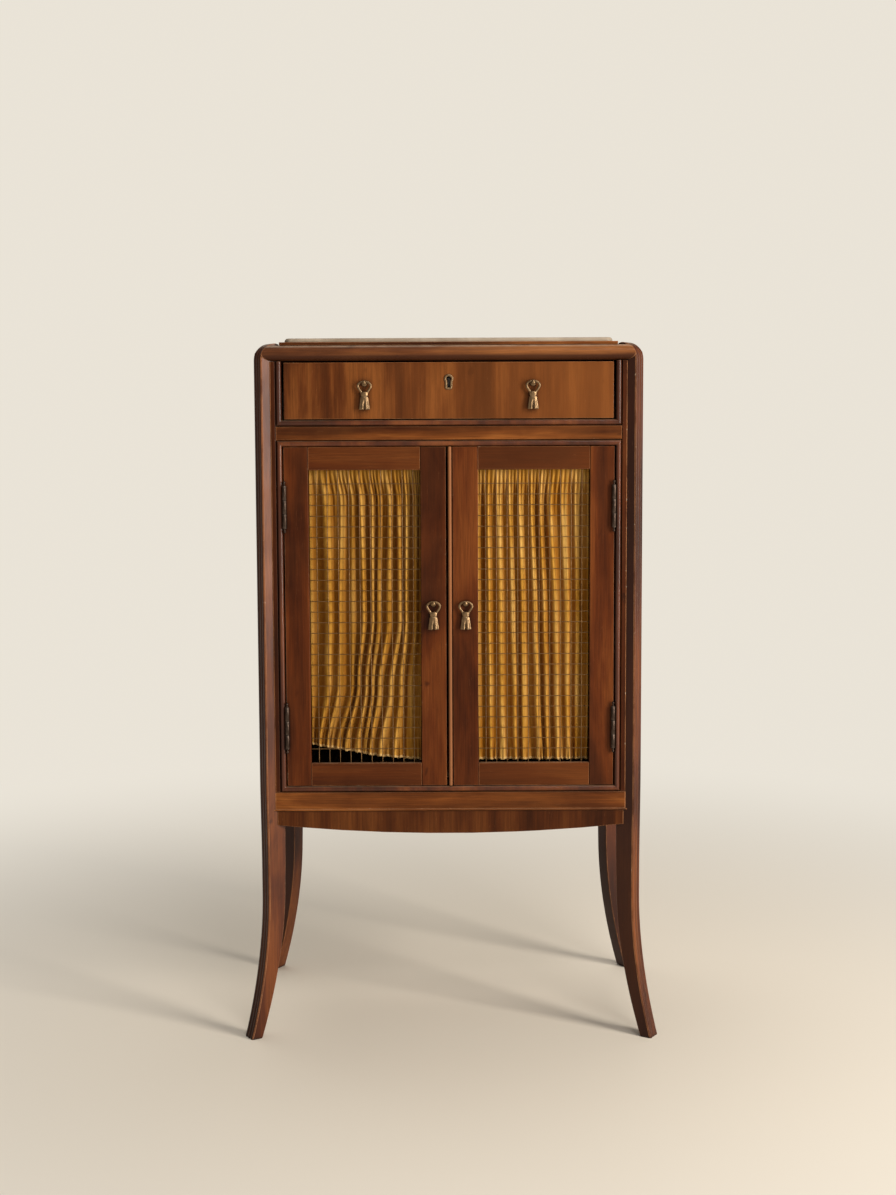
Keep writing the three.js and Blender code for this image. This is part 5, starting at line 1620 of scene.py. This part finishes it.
@dataclass
class Curtain:
    """A curtain gathered on a rod behind the net, in irregular folds."""

    side: Side
    cloth: CurtainCloth
    folds: tuple[Fold, ...]
    seed: int
    hem_low: float
    hem_high: float
    hem_curve: float = 1.15
    hem_ripple: float = 0.9 * MM
    flat_width: float = 285 * MM
    window: float = 176.5 * MM
    levels: tuple[float, ...] = (0.0, 0.12, 0.52, 0.76, 1.0)
    spread_at_rod: float = 0.65
    sleeve: float = 3.0 * MM
    tail: float = 9 * MM
    front: float = 158.9 * MM
    depth: float = 12.5 * MM
    tail_depth: float = 0.7 * MM
    rod_depth: float = 0.9 * MM
    thickness: float = 0.6 * MM
    hollow_power: float = 1.1
    opening: float = 9
    hanging_free: float = 14
    low_part: Span = (0.62, 0.3)
    hem_part: Span = (0.9, 0.1)
    hem_flattening: float = 0.35
    gathers: int = 29
    gather_rise: float = 0.5
    gather_loss: Span = (0.42, 4)
    creases: float = 2.1
    crease_rise: float = 0.14
    crease_start: float = 0.4
    crimps: int = 24
    crimp_rise: float = 0.3
    split_drift: float = 0.7
    crimp_drift: float = 0.5
    drift_orders: int = 6
    drift_scale: float = 1.6
    halvings: int = 14
    columns: int = 480
    rows: int = 170
    tail_rows: int = 5
    turn_rows: int = 9

    def build(self, bench: Bench) -> None:
        """Makes the curtain and seats it."""
        node = f"{self.side.word}_curtain"
        low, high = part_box(node)
        rod_low, rod_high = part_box(f"{node}_rod")
        grid, lengths = self.hang(low, high, (rod_low + rod_high) / 2)
        points = [Vector(point) for point in grid.reshape(-1, 3)]
        piece = make_object(f"{node}_gathered", points, loft_faces(len(grid), self.columns, sheet=True))
        self.add_uv(piece, lengths)
        solid = piece.modifiers.new("cloth", "SOLIDIFY")
        solid.thickness = self.thickness
        solid.offset = 0.0
        bench.seat(piece, self.cloth, node)

    def add_uv(self, piece: bpy.types.Object, lengths: np.ndarray) -> None:
        """Gives the cloth flat coordinates in metres, for its weave.

        Args:
            piece: the curtain.
            lengths: how far down the flat cloth each row lies.
        """
        layer = piece.data.uv_layers.new(name="flat_cloth")
        last = self.columns - 1
        for loop in piece.data.loops:
            row, column = divmod(loop.vertex_index, self.columns)
            layer.data[loop.index].uv = (self.flat_width * column / last, float(lengths[-1] - lengths[row]))

    def hang(self, low: Vector, high: Vector, rod: Vector) -> tuple[np.ndarray, np.ndarray]:
        """Works out where each point of the cloth hangs.

        Args:
            low: the frame curtain's lowest corner.
            high: its highest corner.
            rod: the middle of the rod.

        Returns:
            The points by row and column, and how far down the flat cloth each row lies.
        """
        random = np.random.default_rng(self.seed)
        phase = np.linspace(0.0, len(self.folds) - 1, self.columns)
        u = phase / phase[-1]
        split = self.wander(u, random, self.split_drift)
        crimp = np.sin(math.tau * (self.crimps * u + self.wander(u, random, self.crimp_drift)))
        gathers = np.sin(math.tau * (self.gathers * u + split))
        creases = np.sin(math.tau * (self.creases * phase + split))
        hem = self.hem_low + (self.hem_high - self.hem_low) * (1 - u) ** self.hem_curve
        hem += self.hem_ripple * crimp
        edge = low.x + ((high.x - low.x) - self.window) / 2
        loss, loss_speed = self.gather_loss
        rows = []
        lengths = []
        travelled = 0.0
        for centre_y, centre_z, share, upward in self.profile(rod):
            x = edge + self.across(phase, share)
            drop = smooth(share * self.opening)
            low_down, at_hem = (smooth((share - start) / run)
                                for start, run in (self.low_part, self.hem_part))
            wave = self.relief(phase) * drop * (1 - self.hem_flattening * at_hem)
            wave += gathers * (self.gather_rise - loss * smooth(share * loss_speed))
            wave += self.crease_rise * creases * (self.crease_start + low_down) * drop
            wave += self.crimp_rise * crimp * at_hem
            limit = self.tail_depth
            if share:
                limit = self.rod_depth + (self.depth / 2 - self.rod_depth) * drop
            offset = self.fit(x, wave - (wave.max() + wave.min()) / 2, limit)
            y = centre_y - offset * (1 - abs(upward))
            if share:
                y += float(offset.max() - offset.min()) / 2
            z = centre_z + (hem - centre_z) * share + offset * upward
            rows.append(np.stack([x, y, z], axis=1))
            if len(rows) > 1:
                travelled += float(np.median(np.linalg.norm(rows[-1] - rows[-2], axis=1)))
            lengths.append(travelled)
        return np.array(rows), np.array(lengths)

    def across(self, phase: np.ndarray, share: float) -> np.ndarray:
        """Places the cloth's columns across the window at one height.

        Args:
            phase: each column's place among the folds.
            share: how far down the drop the row lies.

        Returns:
            The distances from the window's left edge.
        """
        table = []
        for name in ("top", "middle", "low", "hem"):
            table.append(MM * np.array([getattr(fold, name) for fold in self.folds]))
        even = self.window * np.arange(len(self.folds)) / (len(self.folds) - 1)
        table.insert(0, (1 - self.spread_at_rod) * even + self.spread_at_rod * table[0])
        i = min(sum(share >= stop for stop in self.levels) - 1, len(self.levels) - 2)
        blend = smooth((share - self.levels[i]) / (self.levels[i + 1] - self.levels[i]))
        ridges = table[i] * (1 - blend) + table[i + 1] * blend
        x = np.interp(phase, np.arange(len(ridges)), ridges)
        reach = len(phase) // (3 * len(ridges))
        padded = np.concatenate([np.full(reach, x[0]), x, np.full(reach, x[-1])])
        eased = np.convolve(padded, np.ones(2 * reach + 1) / (2 * reach + 1), mode="valid")
        return eased + np.linspace(x[0] - eased[0], x[-1] - eased[-1], len(eased))

    def relief(self, phase: np.ndarray) -> np.ndarray:
        """How far the cloth stands out along the folds, from -1 to 1."""
        steps = np.arange(len(self.folds))
        crest = np.interp(phase, steps, [fold.crest for fold in self.folds])
        hollow = np.interp(phase, steps + 0.5, [fold.hollow for fold in self.folds])
        swing = 0.5 - 0.5 * np.cos(math.tau * phase)
        return crest * (1 - swing) - hollow * swing ** self.hollow_power

    def fit(self, x: np.ndarray, wave: np.ndarray, limit: float) -> np.ndarray:
        """Scales a row's folds until its cloth is as long as the flat width.

        Args:
            x: the row's places across.
            wave: the shape of its folds, about 1 deep.
            limit: the deepest that the folds may be.

        Returns:
            The offsets in depth.
        """
        low, high = 0.0, limit / float(np.abs(wave).max())
        for _ in range(self.halvings):
            scale = (low + high) / 2
            if np.hypot(np.diff(x), np.diff(wave * scale)).sum() < self.flat_width:
                low = scale
            else:
                high = scale
        return wave * high

    def wander(self, u: np.ndarray, random: np.random.Generator, amount: float) -> np.ndarray:
        """Makes a slow random drift across the cloth.

        Args:
            u: the places across, from 0 to 1.
            random: the source of chance.
            amount: about how far it drifts.

        Returns:
            The drift at each place.
        """
        drift = np.zeros_like(u)
        for order in range(1, self.drift_orders + 1):
            drift += random.normal() / order * np.sin(math.pi * order * u + random.uniform(0, math.tau))
        return amount * drift / self.drift_scale

    def profile(self, rod: Vector) -> list[tuple[float, float, float, float]]:
        """Draws the cloth's line seen from the side: over the rod and down.

        Args:
            rod: the middle of the rod.

        Returns:
            For each row its depth, its height, its share of the drop and how far up its folds face.
        """
        behind, before = rod.y + self.sleeve, rod.y - self.sleeve
        line = []
        for i in range(self.tail_rows):
            line.append((behind, rod.z - self.tail * (1 - i / self.tail_rows), 0.0, 0.0))
        for i in range(self.turn_rows):
            angle = math.pi * i / (self.turn_rows - 1)
            up = math.sin(angle)
            line.append((rod.y + self.sleeve * math.cos(angle), rod.z + self.sleeve * up, 0.0, up))
        hanging = -self.front + self.thickness / 2
        for i in range(1, self.rows + 1):
            share = i / self.rows
            blend = smooth(share * self.hanging_free)
            line.append((before * (1 - blend) + hanging * blend, rod.z, share, 0.0))
        return line


# ---- Sub-assemblies ---------------------------------------------------------


@dataclass
class Carcase:
    """Posts, rails, beads, boards and the marble top."""

    bench: Bench
    ease: float = 0.7 * MM
    marble_ease: float = 0.8 * MM
    roll_inset: float = 1.6 * MM
    boards: tuple[tuple[str, Finish], ...] = (
        ("left_side_panel", MAHOGANY), ("right_side_panel", MAHOGANY), ("left_frame_stile", STRIP_WOOD),
        ("right_frame_stile", STRIP_WOOD), ("apron", APRON_VENEER), ("middle_rail", PALE_ACROSS),
        ("bottom_rail", PALE_ACROSS), ("door_bead", BEAD_WOOD), ("drawer_bead", BEAD_WOOD),
        ("front_top_rail", NOSE_WOOD), ("top_board", PALE_ACROSS), ("bottom_board", LINING_ACROSS),
        ("dust_board", LINING_ACROSS), ("shelf", LINING_ACROSS), ("back_panel", LINING_ACROSS),
    )

    def build(self) -> None:
        """Makes every fixed piece of the case."""
        for side in Side:
            for behind, word in enumerate(("front", "rear")):
                Post(f"{word}_{side.word}_post", side, bool(behind)).build(self.bench)
        for node, finish in self.boards:
            self.bench.board(node, finish, self.ease)
        for side in Side:
            self.rolled_rail(side)
        self.bench.board("marble_slab", MARBLE, self.marble_ease)

    def rolled_rail(self, side: Side) -> None:
        """Makes the rail between two ears, planed back a little from their faces."""
        rail = self.bench.board(f"{side.word}_rolled_rail", MAHOGANY_DEEP, self.ease)
        face = max(side.value * vert.co.x for vert in rail.data.vertices) - self.roll_inset
        for vert in rail.data.vertices:
            vert.co.x = side.value * min(side.value * vert.co.x, face)


@dataclass
class Drawer:
    """The drawer with its lock, keyhole ring and pulls."""

    bench: Bench
    front_ease: float = 1.5 * MM
    front_steps: int = 3
    boards: tuple[tuple[str, Finish, float], ...] = (
        ("left_side", LINING_DEEP, 0.6 * MM), ("right_side", LINING_DEEP, 0.6 * MM),
        ("back", LINING_ACROSS, 0.6 * MM), ("bottom", LINING_ACROSS, 0.6 * MM),
        ("lock_case", LOCK_IRON, 0.3 * MM), ("lock_bolt", LOCK_IRON, 0.4 * MM),
    )

    def build(self) -> None:
        """Makes every piece of the drawer."""
        self.bench.board("drawer_front", VENEER, self.front_ease, steps=self.front_steps)
        for part, finish, ease in self.boards:
            self.bench.board(f"drawer_{part}", finish, ease)
        KeyholeRing().build(self.bench)
        for side in Side:
            Pull(f"drawer_{side.word}").build(self.bench)


@dataclass
class Door:
    """A door: its frame, net, curtain on its rod, hinges and pull."""

    bench: Bench
    side: Side
    ease: float = 0.45 * MM
    rod_ease: float = 0.2 * MM
    joint: float = 0.28 * MM
    hem: float = 448.3 * MM
    slipped_hem: float = 474 * MM
    seeds: tuple[int, int] = (11, 5)

    def build(self) -> None:
        """Makes every piece of the door."""
        word = self.side.word
        closing = MAHOGANY
        curtain = Curtain(self.side, CLOTH, LOOSE_FOLDS, self.seeds[0], self.hem, self.slipped_hem)
        if self.side is Side.RIGHT:
            closing = CLOSING_WOOD
            curtain = Curtain(self.side, LIT_CLOTH, TIGHT_FOLDS, self.seeds[1], self.hem, self.hem)
        self.bench.board(f"{word}_hinge_stile", MAHOGANY, self.ease)
        self.bench.board(f"{word}_lock_stile", closing, self.ease)
        for part in ("door_top_rail", "door_bottom_rail"):
            self.bench.board(f"{word}_{part}", MAHOGANY_ACROSS, self.ease, ends=self.joint)
        self.bench.board(f"{word}_curtain_rod", BRASS, self.rod_ease)
        WireNet(self.side).build(self.bench)
        curtain.build(self.bench)
        for level in ("upper", "lower"):
            Hinge(self.side, level).build(self.bench)
        Pull(f"{word}_door").build(self.bench)


# ---- Studio -----------------------------------------------------------------


@dataclass(frozen=True)
class Lamp:
    """A soft rectangular light: where it hangs, what it faces, its size, watts and colour."""

    name: str
    place: tuple[float, float, float]
    aim: tuple[float, float, float]
    size: Span
    power: float
    color: Color

    def hang(self) -> None:
        """Hangs the light."""
        data = bpy.data.lights.new(self.name, "AREA")
        data.energy = self.power
        data.shape = "RECTANGLE"
        data.size, data.size_y = self.size
        data.color = self.color
        lamp = put(self.name, data)
        lamp.location = self.place
        lamp.rotation_euler = (Vector(self.aim) - Vector(self.place)).to_track_quat("-Z", "Y").to_euler()


@dataclass
class Studio:
    """The floor, the lights and the camera."""

    lens: float = 50.0
    sight: float = 100.0
    eye: Vector = field(default_factory=lambda: Vector((-0.0025, -2.789, 0.958)))
    pitch: float = math.radians(5.37)
    roll: float = math.radians(-0.25)
    floor_half: float = 30.0
    backdrop: Color = (0.82, 0.77, 0.68)
    glow: Color = (1.0, 0.96, 0.9)
    glow_strength: float = 0.22
    lamps: tuple[Lamp, ...] = (
        Lamp("window", (2.65, -2.0, 1.4), (0.0, -0.1, 1.15), (0.9, 2.3), 140.0, (1.0, 0.94, 0.86)),
        Lamp("fill", (0.9, -2.6, 3.3), (0.0, 0.0, 0.6), (1.2, 1.2), 34.0, (1.0, 0.96, 0.92)),
        Lamp("overhead", (-0.3, 0.9, 3.2), (0.0, 0.0, 0.8), (2.0, 2.0), 24.0, (1.0, 0.97, 0.92)),
    )

    def build(self) -> None:
        """Sets up everything around the cabinet."""
        self.floor()
        for lamp in self.lamps:
            lamp.hang()
        self.world()
        self.camera()

    def floor(self) -> None:
        """Lays the pale floor."""
        half = self.floor_half
        points = [Vector((x * half, y * half, 0.0)) for x, y in ((-1, -1), (1, -1), (1, 1), (-1, 1))]
        floor = make_object("studio_floor", points, [[0, 1, 2, 3]])
        floor.data.materials.append(PlainStage("studio_floor").material())
        floor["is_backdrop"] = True

    def world(self) -> None:
        """Makes the pale surroundings."""
        world = bpy.data.worlds.new("studio")
        world.use_nodes = True
        graph = Graph(world.node_tree)
        seen = graph.add("ShaderNodeLightPath").outputs["Is Camera Ray"]
        glow = tuple(part * self.glow_strength for part in self.glow)
        background = world.node_tree.nodes["Background"]
        graph.link(graph.mix(seen, glow, self.backdrop), background.inputs["Color"])
        bpy.context.scene.world = world
        bpy.context.scene.view_settings.view_transform = "Standard"

    def camera(self) -> None:
        """Places the camera where the photograph was taken from."""
        data = bpy.data.cameras.new("camera")
        data.lens = self.lens
        data.clip_end = self.sight
        camera = put("camera", data)
        tilt = Matrix.Rotation(math.pi / 2 - self.pitch, 4, "X") @ Matrix.Rotation(self.roll, 4, "Z")
        camera.matrix_world = Matrix.Translation(self.eye) @ tilt
        bpy.context.scene.camera = camera


def corners(bounds: Sequence[Vector]) -> list[list[float]]:
    """Turns a box's two corners into plain lists of numbers."""
    return [[float(part) for part in corner] for corner in bounds]


def main() -> None:
    """Builds the cabinet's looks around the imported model."""
    logging.basicConfig(level=logging.INFO, format="%(message)s")
    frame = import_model()
    before = corners(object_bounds())
    bench = Bench(frame)
    Studio().build()
    Carcase(bench).build()
    Drawer(bench).build()
    for side in Side:
        Door(bench, side).build()
    LOG.info("%d pieces made", bench.count)
    sizes = {"frame": before, "visual": corners(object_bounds())}


if __name__ == "__main__":
    main()
